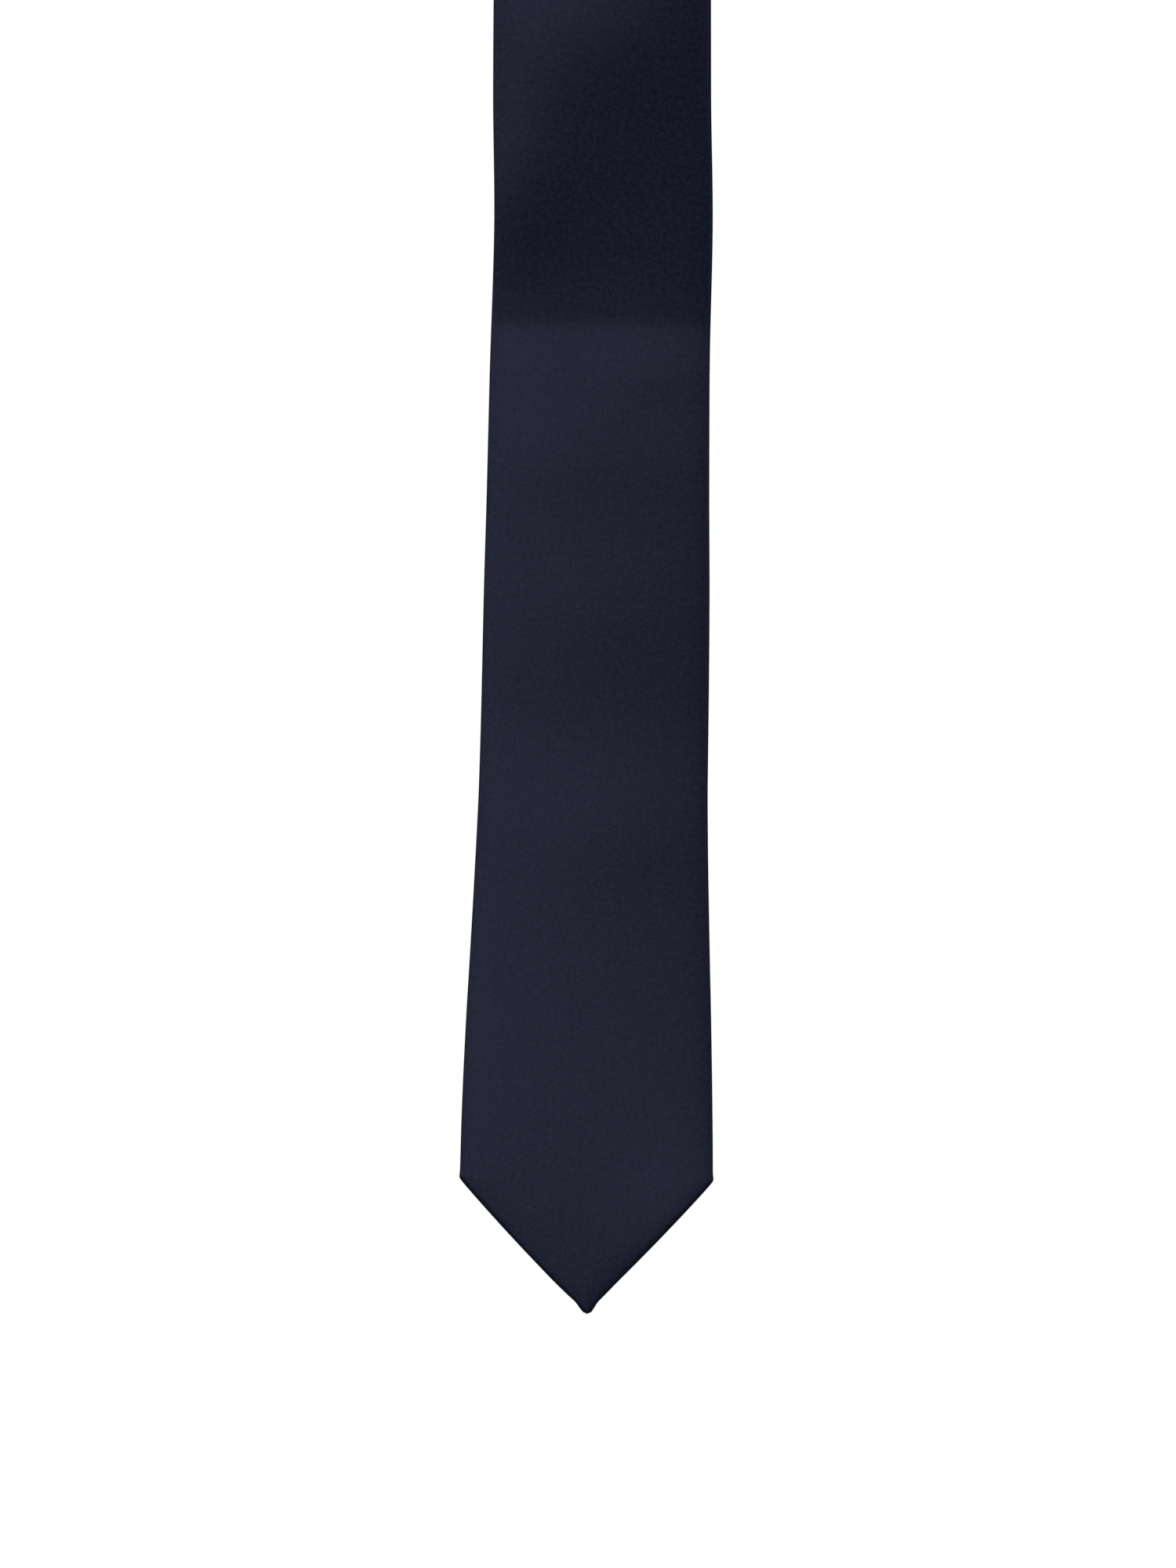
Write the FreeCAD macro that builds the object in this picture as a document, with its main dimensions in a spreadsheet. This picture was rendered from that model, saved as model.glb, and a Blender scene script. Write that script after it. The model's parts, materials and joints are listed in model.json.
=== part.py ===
import FreeCAD, Part
import math
import os
import Sketcher

# A necktie hung over a round hanger rod. The rod's axis is the X axis and its centre the
# origin. The wide front blade hangs on the -Y side with its face to -Y, the narrow tail hangs
# on the +Y side with its face to +Y, and +Z is up. All sizes are millimetres.
#
# The tie is a flat folded tube of cloth around a wool interlining. The cloth is cut in three
# pieces (front blade, neck, tail) that meet at two seams on the bias. Cloth bends anywhere and
# a solid doesn't, so each leg is split where it leaves the rod and where it folds, and each
# length of cloth or interlining between two splits is a piece of its own.

DRIVING_DIMENSIONS = {
    # section through a leg
    "rod_radius": 6.0,
    "leg_thickness": 2.4,
    "cloth": 0.4,
    "interlining": 1.2,
    "tipping": 0.2,
    "edge_wall": 0.8,
    "lining_gap": 0.2,
    "edge_roll": 0.9,
    # neck and its two hinges
    "neck_half": 18.0,
    "hinge_drop": 12.0,
    "hinge_gap": 1.2,
    # bias seams between neck and blades
    "seam_drop": 200.0,
    "seam_gap": 0.3,
    # front blade, drops are measured down from the rod
    "front_fold_drop": 430.0,
    "front_fold_half": 29.0,
    "front_loop_half": 30.2,
    "front_waist_drop": 703.7,
    "front_waist_half": 31.6,
    "front_flare_drop": 755.7,
    "front_flare_half": 33.0,
    "front_shoulder_drop": 820.7,
    "front_shoulder_half": 35.0,
    "front_tip_drop": 858.0,
    # tail
    "tail_fold_drop": 310.0,
    "tail_fold_half": 19.5,
    "tail_waist_drop": 480.0,
    "tail_waist_half": 21.5,
    "tail_shoulder_drop": 577.0,
    "tail_shoulder_half": 22.5,
    "tail_tip_drop": 600.0,
    "fold_gap": 0.2,
    # kite-shaped openings that show the tipping
    "front_tack_drop": 740.0,
    "tail_tack_drop": 532.0,
    "kite_hem": 8.0,
    "tipping_rise": 30.0,
    # back seam and its thread
    "back_groove": 1.2,
    "groove_depth": 0.2,
    "stitch_width": 2.4,
    "stitch_height": 0.5,
    "stitch_thickness": 0.2,
    "stitch_pitch": 12.0,
    "tack_width": 8.0,
    "tack_height": 2.0,
    "tack_thickness": 0.5,
    # keeper loop
    "loop_drop": 584.0,
    "loop_height": 18.0,
    "loop_half": 27.0,
    "loop_foot": 3.5,
    "loop_slope": 2.0,
    "loop_stand": 5.5,
    "loop_cloth": 0.5,
    "loop_stitch": 14.0,
    # care label
    "label_drop": 611.6,
    "label_half": 10.0,
    "label_length": 28.0,
    "label_cloth": 0.3,
    "label_clearance": 0.4,
    "label_seam": 4.5,
}

STATION_TOLERANCE = 1e-6


def dim(name):
    """Expression that reads one driving dimension."""
    return f"Dimensions.{name}"


INNER_FACE = dim("rod_radius")
OUTER_FACE = f"({dim('rod_radius')} + {dim('leg_thickness')})"
CAVITY_INNER = f"({INNER_FACE} + {dim('cloth')})"
CAVITY_OUTER = f"({OUTER_FACE} - {dim('cloth')})"
INTERLINING_INNER = f"({CAVITY_OUTER} - {dim('interlining')})"
TIPPING_INNER = f"({INTERLINING_INNER} - {dim('tipping')})"
STITCH_INNER = f"({INNER_FACE} - {dim('stitch_thickness')})"
TACK_INNER = f"({INNER_FACE} - {dim('tack_thickness')})"
LINING_INSET = f"({dim('edge_wall')} + {dim('lining_gap')})"


def make_sheet(doc):
    sheet = doc.addObject("Spreadsheet::Sheet", "Dimensions")
    for row, (name, value) in enumerate(DRIVING_DIMENSIONS.items(), 1):
        sheet.set(f"A{row}", name)
        sheet.set(f"B{row}", str(value))
        sheet.setAlias(f"B{row}", name)
    doc.recompute()


def origin_feature(body, role):
    return next(f for f in body.Origin.OriginFeatures if f.Role == role)


def new_body(doc, label):
    body = doc.addObject("PartDesign::Body", label)
    body.Label = label
    return body


def new_sketch(body, name, plane, offset):
    sketch = body.newObject("Sketcher::SketchObject", name)
    sketch.AttachmentSupport = (origin_feature(body, plane), [""])
    sketch.MapMode = "FlatFace"
    sketch.setExpression(".AttachmentOffset.Base.z", offset)
    return sketch


def place_point(sketch, geometry, end, across, up):
    """Bind one end of a line to two expressions, measured from the sketch's origin."""
    for kind, value in (("DistanceX", across), ("DistanceY", up)):
        index = sketch.addConstraint(Sketcher.Constraint(kind, -1, 1, geometry, end, 1.0))
        sketch.setExpression(f"Constraints[{index}]", value)


def draw_polygon(sketch, corners):
    """Closed outline through corners, each a pair of expressions."""
    count = len(corners)
    turns = [2.0 * math.pi * k / count for k in range(count)]
    ring = [FreeCAD.Vector(math.cos(turn), math.sin(turn), 0.0) for turn in turns]
    for k in range(count):
        sketch.addGeometry(Part.LineSegment(ring[k], ring[(k + 1) % count]), False)
    for k in range(count):
        sketch.addConstraint(Sketcher.Constraint("Coincident", k, 2, (k + 1) % count, 1))
    for k, (across, up) in enumerate(corners):
        place_point(sketch, k, 1, across, up)


def draw_saddle(sketch, inner, outer, drop):
    """Half ring over the rod with two short straight legs, drawn across the tie."""
    centre = FreeCAD.Vector(0.0, 0.0, 0.0)
    upward = FreeCAD.Vector(0.0, 0.0, 1.0)
    for radius in (2.0, 1.0):
        circle = Part.Circle(centre, upward, radius)
        sketch.addGeometry(Part.ArcOfCircle(circle, 0.0, math.pi), False)
    corners = ((-2.0, 0.0), (-2.0, -1.0), (-1.0, -1.0), (-1.0, 0.0))
    for side in (1.0, -1.0):
        points = [FreeCAD.Vector(side * x, y, 0.0) for x, y in corners]
        for start, finish in zip(points, points[1:]):
            sketch.addGeometry(Part.LineSegment(start, finish), False)
    outer_arc, inner_arc = 0, 1
    for arc, radius in ((outer_arc, outer), (inner_arc, inner)):
        sketch.addConstraint(Sketcher.Constraint("Coincident", arc, 3, -1, 1))
        index = sketch.addConstraint(Sketcher.Constraint("Radius", arc, 1.0))
        sketch.setExpression(f"Constraints[{index}]", radius)
        for end in (1, 2):
            sketch.addConstraint(Sketcher.Constraint("PointOnObject", arc, end, -1))
    for first_line, arc_end in ((2, 2), (5, 1)):
        down, foot, back = first_line, first_line + 1, first_line + 2
        sketch.addConstraint(Sketcher.Constraint("Coincident", outer_arc, arc_end, down, 1))
        sketch.addConstraint(Sketcher.Constraint("Coincident", down, 2, foot, 1))
        sketch.addConstraint(Sketcher.Constraint("Coincident", foot, 2, back, 1))
        sketch.addConstraint(Sketcher.Constraint("Coincident", back, 2, inner_arc, arc_end))
        sketch.addConstraint(Sketcher.Constraint("Vertical", down))
        sketch.addConstraint(Sketcher.Constraint("Vertical", back))
        sketch.addConstraint(Sketcher.Constraint("Horizontal", foot))
        index = sketch.addConstraint(Sketcher.Constraint("DistanceY", -1, 1, foot, 1, -1.0))
        sketch.setExpression(f"Constraints[{index}]", f"-({drop})")


def add_pad(body, name, sketch, length):
    pad = body.newObject("PartDesign::Pad", name)
    pad.Profile = sketch
    pad.setExpression("Length", length)
    body.Document.recompute()
    return pad


def add_pocket(body, name, sketch, length):
    """Cut the sketch's outline away, and make sure that it did cut."""
    before = body.Shape.Volume
    pocket = body.newObject("PartDesign::Pocket", name)
    pocket.Profile = sketch
    pocket.setExpression("Length", length)
    body.Document.recompute()
    if not body.Shape.Volume < before:
        raise RuntimeError(f"{body.Label}: {name} cut nothing")
    return pocket


def plate(body, name, corners, side, inner, outer):
    """Pad an outline between two distances from the plane that lies between the legs."""
    offset = inner if side == "front" else f"-({outer})"
    sketch = new_sketch(body, f"{name}_outline", "XZ_Plane", offset)
    draw_polygon(sketch, corners)
    return add_pad(body, name, sketch, f"{outer} - {inner}")


def recess(body, name, corners, side, inner, outer):
    """Cut an outline away between two distances from the plane between the legs."""
    offset = outer if side == "front" else f"-({inner})"
    sketch = new_sketch(body, f"{name}_outline", "XZ_Plane", offset)
    draw_polygon(sketch, corners)
    return add_pocket(body, name, sketch, f"{outer} - {inner}")


def roll_long_edges(body, pad):
    """Round the edges where the cloth folds over, and leave the cut ends square."""
    names = []
    for number, edge in enumerate(pad.Shape.Edges, 1):
        first, last = edge.Vertexes[0].Point, edge.Vertexes[-1].Point
        in_face = abs(first.y - last.y) < STATION_TOLERANCE
        one_side = first.x * last.x > -STATION_TOLERANCE
        if in_face and one_side:
            names.append(f"Edge{number}")
    roll = body.newObject("PartDesign::Fillet", "rolled_edges")
    roll.Base = (pad, names)
    roll.setExpression("Radius", dim("edge_roll"))
    body.Document.recompute()
    return roll


# ---------------------------------------------------------------------------------------------
# Outlines, each a list of (half width, drop) stations from top to bottom.

LEG_TOP = f"({dim('hinge_drop')} + {dim('hinge_gap')})"
SADDLE_FOOT = f"({dim('hinge_drop')} - {dim('hinge_gap')})"
SEAM_FOOT = f"({dim('seam_drop')} + {dim('neck_half')})"

LOWER_STATIONS = {
    "front": [
        (dim("front_fold_half"), f"({dim('front_fold_drop')} + {dim('fold_gap')})"),
        (dim("front_loop_half"), dim("loop_drop")),
        (dim("front_waist_half"), dim("front_waist_drop")),
        (dim("front_flare_half"), dim("front_flare_drop")),
        (dim("front_shoulder_half"), dim("front_shoulder_drop")),
    ],
    "tail": [
        (dim("tail_fold_half"), f"({dim('tail_fold_drop')} + {dim('fold_gap')})"),
        (dim("tail_waist_half"), dim("tail_waist_drop")),
        (dim("tail_shoulder_half"), dim("tail_shoulder_drop")),
    ],
}


def fold_station(side):
    """Half width and drop where the upper length of a leg ends."""
    return dim(f"{side}_fold_half"), f"({dim(side + '_fold_drop')} - {dim('fold_gap')})"


def both_sides(stations, inset, overrun_top="0"):
    """Right-hand and left-hand corners of a run of stations, pulled in by inset."""
    right = [(f"({half} - {inset})", f"-({drop})") for half, drop in stations]
    top_half, top_drop = right[0]
    right[0] = (top_half, f"({top_drop} + {overrun_top})")
    left = [(f"-{half}", drop) for half, drop in reversed(right)]
    return right, left


def neck_corners(inset, overrun, seam_shift):
    """Neck piece of a leg: from the hinge down to the bias seam."""
    half = f"({dim('neck_half')} - {inset})"
    top = f"-({LEG_TOP} - {overrun})"
    right = f"-({dim('seam_drop')} - {half} + {seam_shift})"
    left = f"-({dim('seam_drop')} + {half} + {seam_shift})"
    return [(half, top), (half, right), (f"-{half}", left), (f"-{half}", top)]


def upper_corners(side, inset, overrun, seam_shift):
    """Blade cloth of one leg: from the bias seam down to the fold."""
    half = f"({dim('neck_half')} - {inset})"
    fold_half, fold_drop = fold_station(side)
    fold_half = f"({fold_half} - {inset})"
    foot = f"-({fold_drop} + {overrun})"
    right = f"-({dim('seam_drop')} - {half} + {seam_shift})"
    left = f"-({dim('seam_drop')} + {half} + {seam_shift})"
    taper = f"-({SEAM_FOOT} + {dim('seam_gap')})"
    return [
        (half, right),
        (half, taper),
        (fold_half, foot),
        (f"-{fold_half}", foot),
        (f"-{half}", left),
    ]


def lining_upper_corners(side, inset):
    """Interlining of one leg: from the hinge down to the fold, under the bias seam."""
    fold_half, fold_drop = fold_station(side)
    stations = [
        (dim("neck_half"), LEG_TOP),
        (dim("neck_half"), SEAM_FOOT),
        (fold_half, fold_drop),
    ]
    right, left = both_sides(stations, inset)
    return right + left


def lower_corners(side, inset, overrun_top):
    """Blade end: from the fold down to the point."""
    right, left = both_sides(LOWER_STATIONS[side], inset, overrun_top)
    point = [("0", f"-({dim(side + '_tip_drop')} - 1.5 * {inset})")]
    return right + point + left


def tipping_corners(side):
    """Lining cloth of the blade end: from above the bar tack down to the point."""
    shoulder_half = dim(f"{side}_shoulder_half")
    waist_half = dim(f"{side}_waist_half")
    top = f"-({dim(side + '_tack_drop')} - {dim('tipping_rise')})"
    shoulder = f"-{dim(side + '_shoulder_drop')}"
    tip = f"-({dim(side + '_tip_drop')} - 1.5 * {LINING_INSET})"
    right = [
        (f"({waist_half} - 2 * {LINING_INSET})", top),
        (f"({shoulder_half} - {LINING_INSET})", shoulder),
    ]
    left = [(f"-{across}", up) for across, up in reversed(right)]
    return right + [("0", tip)] + left


def kite_corners(side):
    """Opening between the folded flaps, from the bar tack down to the hem of the point."""
    across = f"({dim(side + '_shoulder_half')} - {dim('kite_hem')})"
    top = f"-{dim(side + '_tack_drop')}"
    middle = f"-({dim(side + '_shoulder_drop')} - 0.5 * {dim('kite_hem')})"
    bottom = f"-({dim(side + '_tip_drop')} - 1.5 * {dim('kite_hem')})"
    return [("0", top), (across, middle), ("0", bottom), (f"-{across}", middle)]


def centre_strip(width, top, bottom):
    """Upright strip on the centre line."""
    half = f"({width} / 2)"
    return [(half, top), (half, bottom), (f"-{half}", bottom), (f"-{half}", top)]


# ---------------------------------------------------------------------------------------------
# Pieces over the rod.


def saddle_piece(doc, label, inner, outer, inset):
    """A bent length over the rod, as wide as the neck less an inset at each edge."""
    body = new_body(doc, label)
    half = f"({dim('neck_half')} - {inset})"
    sketch = new_sketch(body, "section", "YZ_Plane", f"-{half}")
    draw_saddle(sketch, inner, outer, SADDLE_FOOT)
    add_pad(body, "bent_cloth", sketch, f"2 * {half}")
    return body


def make_neck_shell_saddle(doc):
    body = saddle_piece(doc, "neck_shell_saddle", INNER_FACE, OUTER_FACE, "0")
    half = f"({dim('neck_half')} - {dim('edge_wall')})"
    sketch = new_sketch(body, "hollow_section", "YZ_Plane", half)
    draw_saddle(sketch, CAVITY_INNER, CAVITY_OUTER, f"{SADDLE_FOOT} + 1")
    add_pocket(body, "hollow", sketch, f"2 * {half}")
    return body


def make_neck_interlining_saddle(doc):
    return saddle_piece(
        doc, "interlining_saddle", INTERLINING_INNER, CAVITY_OUTER, LINING_INSET
    )


# ---------------------------------------------------------------------------------------------
# Shell cloth of a leg.


def add_back_groove(body, side, top, bottom):
    """Step where one folded flap lies against the other down the centre of the back."""
    corners = centre_strip(dim("back_groove"), top, bottom)
    depth = f"({INNER_FACE} + {dim('groove_depth')})"
    recess(body, "back_seam", corners, side, f"({INNER_FACE} - 1)", depth)


def make_neck_shell(doc, side):
    body = new_body(doc, f"neck_shell_{side}")
    half_seam = f"(-0.5 * {dim('seam_gap')})"
    corners = neck_corners("0", "0", half_seam)
    pad = plate(body, "folded_cloth", corners, side, INNER_FACE, OUTER_FACE)
    roll_long_edges(body, pad)
    hollow = neck_corners(dim("edge_wall"), "1", "1")
    recess(body, "hollow", hollow, side, CAVITY_INNER, CAVITY_OUTER)
    add_back_groove(body, side, f"-({LEG_TOP} - 1)", f"-({dim('seam_drop')} + 2)")
    return body


def make_shell_upper(doc, side):
    body = new_body(doc, f"{side}_shell_upper")
    half_seam = f"(0.5 * {dim('seam_gap')})"
    corners = upper_corners(side, "0", "0", half_seam)
    pad = plate(body, "folded_cloth", corners, side, INNER_FACE, OUTER_FACE)
    roll_long_edges(body, pad)
    hollow = upper_corners(side, dim("edge_wall"), "1", "-1")
    recess(body, "hollow", hollow, side, CAVITY_INNER, CAVITY_OUTER)
    fold_drop = fold_station(side)[1]
    add_back_groove(body, side, f"-({dim('seam_drop')} - 2)", f"-({fold_drop} + 1)")
    return body


def make_shell_lower(doc, side):
    body = new_body(doc, f"{side}_shell_lower")
    corners = lower_corners(side, "0", "0")
    pad = plate(body, "folded_cloth", corners, side, INNER_FACE, OUTER_FACE)
    roll_long_edges(body, pad)
    hollow = lower_corners(side, dim("edge_wall"), "1")
    recess(body, "hollow", hollow, side, CAVITY_INNER, CAVITY_OUTER)
    opening = kite_corners(side)
    recess(body, "kite", opening, side, f"({INNER_FACE} - 1)", CAVITY_INNER)
    fold_top = f"-({dim(side + '_fold_drop')} - 1)"
    add_back_groove(body, side, fold_top, f"-({dim(side + '_tack_drop')} + 1)")
    return body


# ---------------------------------------------------------------------------------------------
# Interlining, tipping, seams and stitches of a leg.


def make_interlining(doc, side, length):
    body = new_body(doc, f"{side}_interlining_{length}")
    if length == "upper":
        corners = lining_upper_corners(side, LINING_INSET)
    else:
        corners = lower_corners(side, LINING_INSET, "0")
    plate(body, "felted_wool", corners, side, INTERLINING_INNER, CAVITY_OUTER)
    return body


def make_tipping(doc, side):
    body = new_body(doc, f"{side}_tipping")
    plate(body, "lining", tipping_corners(side), side, TIPPING_INNER, INTERLINING_INNER)
    return body


def make_piecing_seam(doc, side):
    """Thread line in the face cloth along the bias seam."""
    body = new_body(doc, f"{side}_piecing_seam")
    half = f"({dim('neck_half')} - 1.5 * {dim('edge_roll')})"
    upper_gap = f"(-0.5 * {dim('seam_gap')})"
    lower_gap = f"(0.5 * {dim('seam_gap')})"
    corners = [
        (half, f"-({dim('seam_drop')} - {half} + {upper_gap})"),
        (half, f"-({dim('seam_drop')} - {half} + {lower_gap})"),
        (f"-{half}", f"-({dim('seam_drop')} + {half} + {lower_gap})"),
        (f"-{half}", f"-({dim('seam_drop')} + {half} + {upper_gap})"),
    ]
    plate(body, "seam_thread", corners, side, CAVITY_OUTER, OUTER_FACE)
    return body


def stitch_row(doc, label, side, top_drop, run):
    """Slip stitches that bridge the back seam, one every pitch down a run of the leg."""
    body = new_body(doc, label)
    bottom = f"-({top_drop} + {dim('stitch_height')})"
    corners = centre_strip(dim("stitch_width"), f"-({top_drop})", bottom)
    first = plate(body, "stitch", corners, side, STITCH_INNER, INNER_FACE)
    row = body.newObject("PartDesign::LinearPattern", "row_of_stitches")
    row.Originals = [first]
    row.Direction = (origin_feature(body, "Z_Axis"), [""])
    row.Reversed = True
    pitches = math.floor(run / DRIVING_DIMENSIONS["stitch_pitch"])
    row.setExpression("Length", f"{pitches} * {dim('stitch_pitch')}")
    row.Occurrences = pitches + 1
    body.Tip = row
    body.Document.recompute()
    return body


def make_slip_stitches(doc, side):
    sizes = DRIVING_DIMENSIONS
    margin = f"{dim('stitch_pitch')} / 2"
    fold = sizes[f"{side}_fold_drop"]
    upper_run = fold - sizes["hinge_drop"] - sizes["stitch_pitch"]
    lower_run = sizes[f"{side}_tack_drop"] - fold - sizes["stitch_pitch"]
    upper = stitch_row(
        doc, f"{side}_slip_stitch_upper", side, f"{LEG_TOP} + {margin}", upper_run
    )
    lower = stitch_row(
        doc, f"{side}_slip_stitch_lower", side, f"{dim(side + '_fold_drop')} + {margin}", lower_run
    )
    return [upper, lower]


def make_bar_tack(doc, side):
    body = new_body(doc, f"{side}_bar_tack")
    tack = dim(f"{side}_tack_drop")
    top = f"-({tack} - {dim('tack_height')})"
    corners = centre_strip(dim("tack_width"), top, f"-({tack})")
    plate(body, "satin_stitches", corners, side, TACK_INNER, INNER_FACE)
    return body


# ---------------------------------------------------------------------------------------------
# Keeper loop and care label, on the back of the front blade.

LOOP_TOP = f"-({dim('loop_drop')} - {dim('loop_height')} / 2)"
LOOP_BOTTOM = f"-({dim('loop_drop')} + {dim('loop_height')} / 2)"
LOOP_BACK = f"-({INNER_FACE} - {dim('loop_stand')})"


def make_keeper_loop(doc):
    """Band that stands off the blade and is sewn down by a flat foot at each end."""
    body = new_body(doc, "keeper_loop")
    sketch = new_sketch(body, "bowed_band", "XY_Plane", LOOP_BOTTOM)
    cloth = dim("loop_cloth")
    seat = f"-{INNER_FACE}"
    foot_half = f"({dim('loop_half')} - {dim('loop_foot')})"
    crown_half = f"({foot_half} - {dim('loop_slope')})"
    right = [
        (crown_half, LOOP_BACK),
        (foot_half, f"({seat} + {cloth})"),
        (dim("loop_half"), f"({seat} + {cloth})"),
        (dim("loop_half"), seat),
        (f"({foot_half} - {cloth})", seat),
        (f"({crown_half} - {cloth})", f"({LOOP_BACK} - {cloth})"),
    ]
    left = [(f"-{across}", up) for across, up in reversed(right)]
    draw_polygon(sketch, right + left)
    add_pad(body, "band", sketch, dim("loop_height"))
    return body


def make_keeper_stitches(doc, name, sign):
    """Whipped stitches over one foot of the keeper loop."""
    body = new_body(doc, f"keeper_stitches_{name}")
    outer = f"({sign} * ({dim('loop_half')} - 1))"
    inner = f"({sign} * ({dim('loop_half')} - 1 - {dim('stitch_height')}))"
    top = f"-({dim('loop_drop')} - {dim('loop_stitch')} / 2)"
    bottom = f"-({dim('loop_drop')} + {dim('loop_stitch')} / 2)"
    corners = [(outer, top), (outer, bottom), (inner, bottom), (inner, top)]
    foot_face = f"({INNER_FACE} - {dim('loop_cloth')})"
    thread_face = f"({foot_face} - {dim('stitch_thickness')})"
    plate(body, "stitches", corners, "front", thread_face, foot_face)
    return body


def label_corners(top, bottom):
    half = dim("label_half")
    return [(half, top), (half, bottom), (f"-{half}", bottom), (f"-{half}", top)]


LABEL_OUTER = f"({INNER_FACE} - {dim('label_clearance')})"
LABEL_INNER = f"({LABEL_OUTER} - {dim('label_cloth')})"


def make_care_label_hem(doc):
    """Sewn top end of the care label, which stays on the blade."""
    body = new_body(doc, "care_label_sewn_end")
    top = f"-({dim('label_drop')} - {dim('label_seam')})"
    bottom = f"-({dim('label_drop')} - {dim('label_cloth')})"
    plate(body, "label_hem", label_corners(top, bottom), "front", LABEL_INNER, LABEL_OUTER)
    return body


def make_care_label(doc):
    """Free part of the care label, which flips up about its top edge."""
    body = new_body(doc, "care_label")
    top = f"-({dim('label_drop')} + {dim('label_cloth')})"
    bottom = f"-({dim('label_drop')} + {dim('label_length')})"
    plate(body, "label_cloth", label_corners(top, bottom), "front", LABEL_INNER, LABEL_OUTER)
    return body


def make_label_stitches(doc):
    """Two tacks that hold the sewn end of the care label through the back cloth."""
    body = new_body(doc, "care_label_stitches")
    half = f"({dim('label_half')} - 1)"
    middle = f"({dim('label_drop')} - {dim('label_seam')} / 2)"
    top = f"-({middle} - {dim('stitch_height')} / 2)"
    bottom = f"-({middle} + {dim('stitch_height')} / 2)"
    corners = [(half, top), (half, bottom), (f"-{half}", bottom), (f"-{half}", top)]
    thread_face = f"({LABEL_INNER} - {dim('stitch_thickness')})"
    plate(body, "stitches", corners, "front", thread_face, LABEL_INNER)
    return body


# ---------------------------------------------------------------------------------------------


def make_leg(doc, side):
    pieces = [make_neck_shell(doc, side), make_shell_upper(doc, side)]
    pieces.append(make_shell_lower(doc, side))
    pieces.append(make_interlining(doc, side, "upper"))
    pieces.append(make_interlining(doc, side, "lower"))
    pieces.append(make_tipping(doc, side))
    pieces.append(make_piecing_seam(doc, side))
    pieces.extend(make_slip_stitches(doc, side))
    pieces.append(make_bar_tack(doc, side))
    return pieces


def make_pieces(doc):
    pieces = [make_neck_shell_saddle(doc), make_neck_interlining_saddle(doc)]
    for side in ("front", "tail"):
        pieces.extend(make_leg(doc, side))
    pieces.append(make_keeper_loop(doc))
    pieces.append(make_keeper_stitches(doc, "left", -1))
    pieces.append(make_keeper_stitches(doc, "right", 1))
    pieces.append(make_care_label_hem(doc))
    pieces.append(make_care_label(doc))
    pieces.append(make_label_stitches(doc))
    return pieces


def check_document(doc, pieces):
    for item in doc.Objects:
        if "Invalid" in item.State or "Error" in item.State:
            raise RuntimeError(f"{item.Label} failed: {item.State}")
    for piece in pieces:
        if piece.Shape.isNull() or not piece.Shape.isValid():
            raise RuntimeError(f"{piece.Label} has no valid shape")


def export_pieces(pieces):
    os.makedirs("parts", exist_ok=True)
    for piece in pieces:
        piece.Shape.exportStep(f"parts/{piece.Label}.step")
        box = piece.Shape.BoundBox
        print(
            f"{piece.Label:26} solids {len(piece.Shape.Solids):3}"
            f"  volume {piece.Shape.Volume:9.1f} mm3"
            f"  x {box.XMin:6.1f}..{box.XMax:5.1f}"
            f"  y {box.YMin:5.1f}..{box.YMax:5.1f}"
            f"  z {box.ZMin:7.1f}..{box.ZMax:6.1f}"
        )


def main():
    doc = FreeCAD.newDocument("Necktie")
    make_sheet(doc)
    pieces = make_pieces(doc)
    doc.recompute()
    check_document(doc, pieces)
    export_pieces(pieces)


main()
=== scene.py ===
# %% [markdown]
# A lined necktie, hung over a round rod
#
# The tie is one long folded tube. Its cloth is cut on the bias in three pieces, wrapped round a
# strip of woollen interlining, closed down the centre of the back with a slip stitch, and lined
# at both ends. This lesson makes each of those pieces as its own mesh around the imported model,
# which says where every piece sits and which body it moves with.

# %% Load the frame
import json
import math

import bpy
import numpy as np
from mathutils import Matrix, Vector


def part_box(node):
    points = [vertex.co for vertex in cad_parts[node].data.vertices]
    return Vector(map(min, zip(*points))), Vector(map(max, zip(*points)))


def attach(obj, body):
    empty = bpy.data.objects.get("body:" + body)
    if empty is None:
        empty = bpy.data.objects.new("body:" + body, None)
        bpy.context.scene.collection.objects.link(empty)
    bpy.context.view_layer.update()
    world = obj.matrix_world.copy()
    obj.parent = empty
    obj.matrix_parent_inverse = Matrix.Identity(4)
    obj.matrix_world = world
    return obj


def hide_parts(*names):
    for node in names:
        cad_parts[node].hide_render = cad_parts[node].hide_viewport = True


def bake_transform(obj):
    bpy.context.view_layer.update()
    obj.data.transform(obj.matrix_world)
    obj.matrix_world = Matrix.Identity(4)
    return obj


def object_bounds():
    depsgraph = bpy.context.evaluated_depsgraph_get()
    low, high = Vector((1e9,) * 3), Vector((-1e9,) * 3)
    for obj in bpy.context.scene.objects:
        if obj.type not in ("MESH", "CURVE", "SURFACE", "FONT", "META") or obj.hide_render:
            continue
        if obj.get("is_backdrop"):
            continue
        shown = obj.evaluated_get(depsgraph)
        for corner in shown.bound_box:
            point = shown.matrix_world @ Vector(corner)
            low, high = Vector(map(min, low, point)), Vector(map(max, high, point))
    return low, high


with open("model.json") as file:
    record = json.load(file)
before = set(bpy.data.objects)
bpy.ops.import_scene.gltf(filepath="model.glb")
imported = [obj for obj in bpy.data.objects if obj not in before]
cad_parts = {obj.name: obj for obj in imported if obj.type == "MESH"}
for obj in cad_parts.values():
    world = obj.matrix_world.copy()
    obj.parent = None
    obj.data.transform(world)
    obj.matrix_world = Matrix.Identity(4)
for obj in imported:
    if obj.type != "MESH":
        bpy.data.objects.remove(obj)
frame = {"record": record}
cad_low, cad_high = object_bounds()

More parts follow.
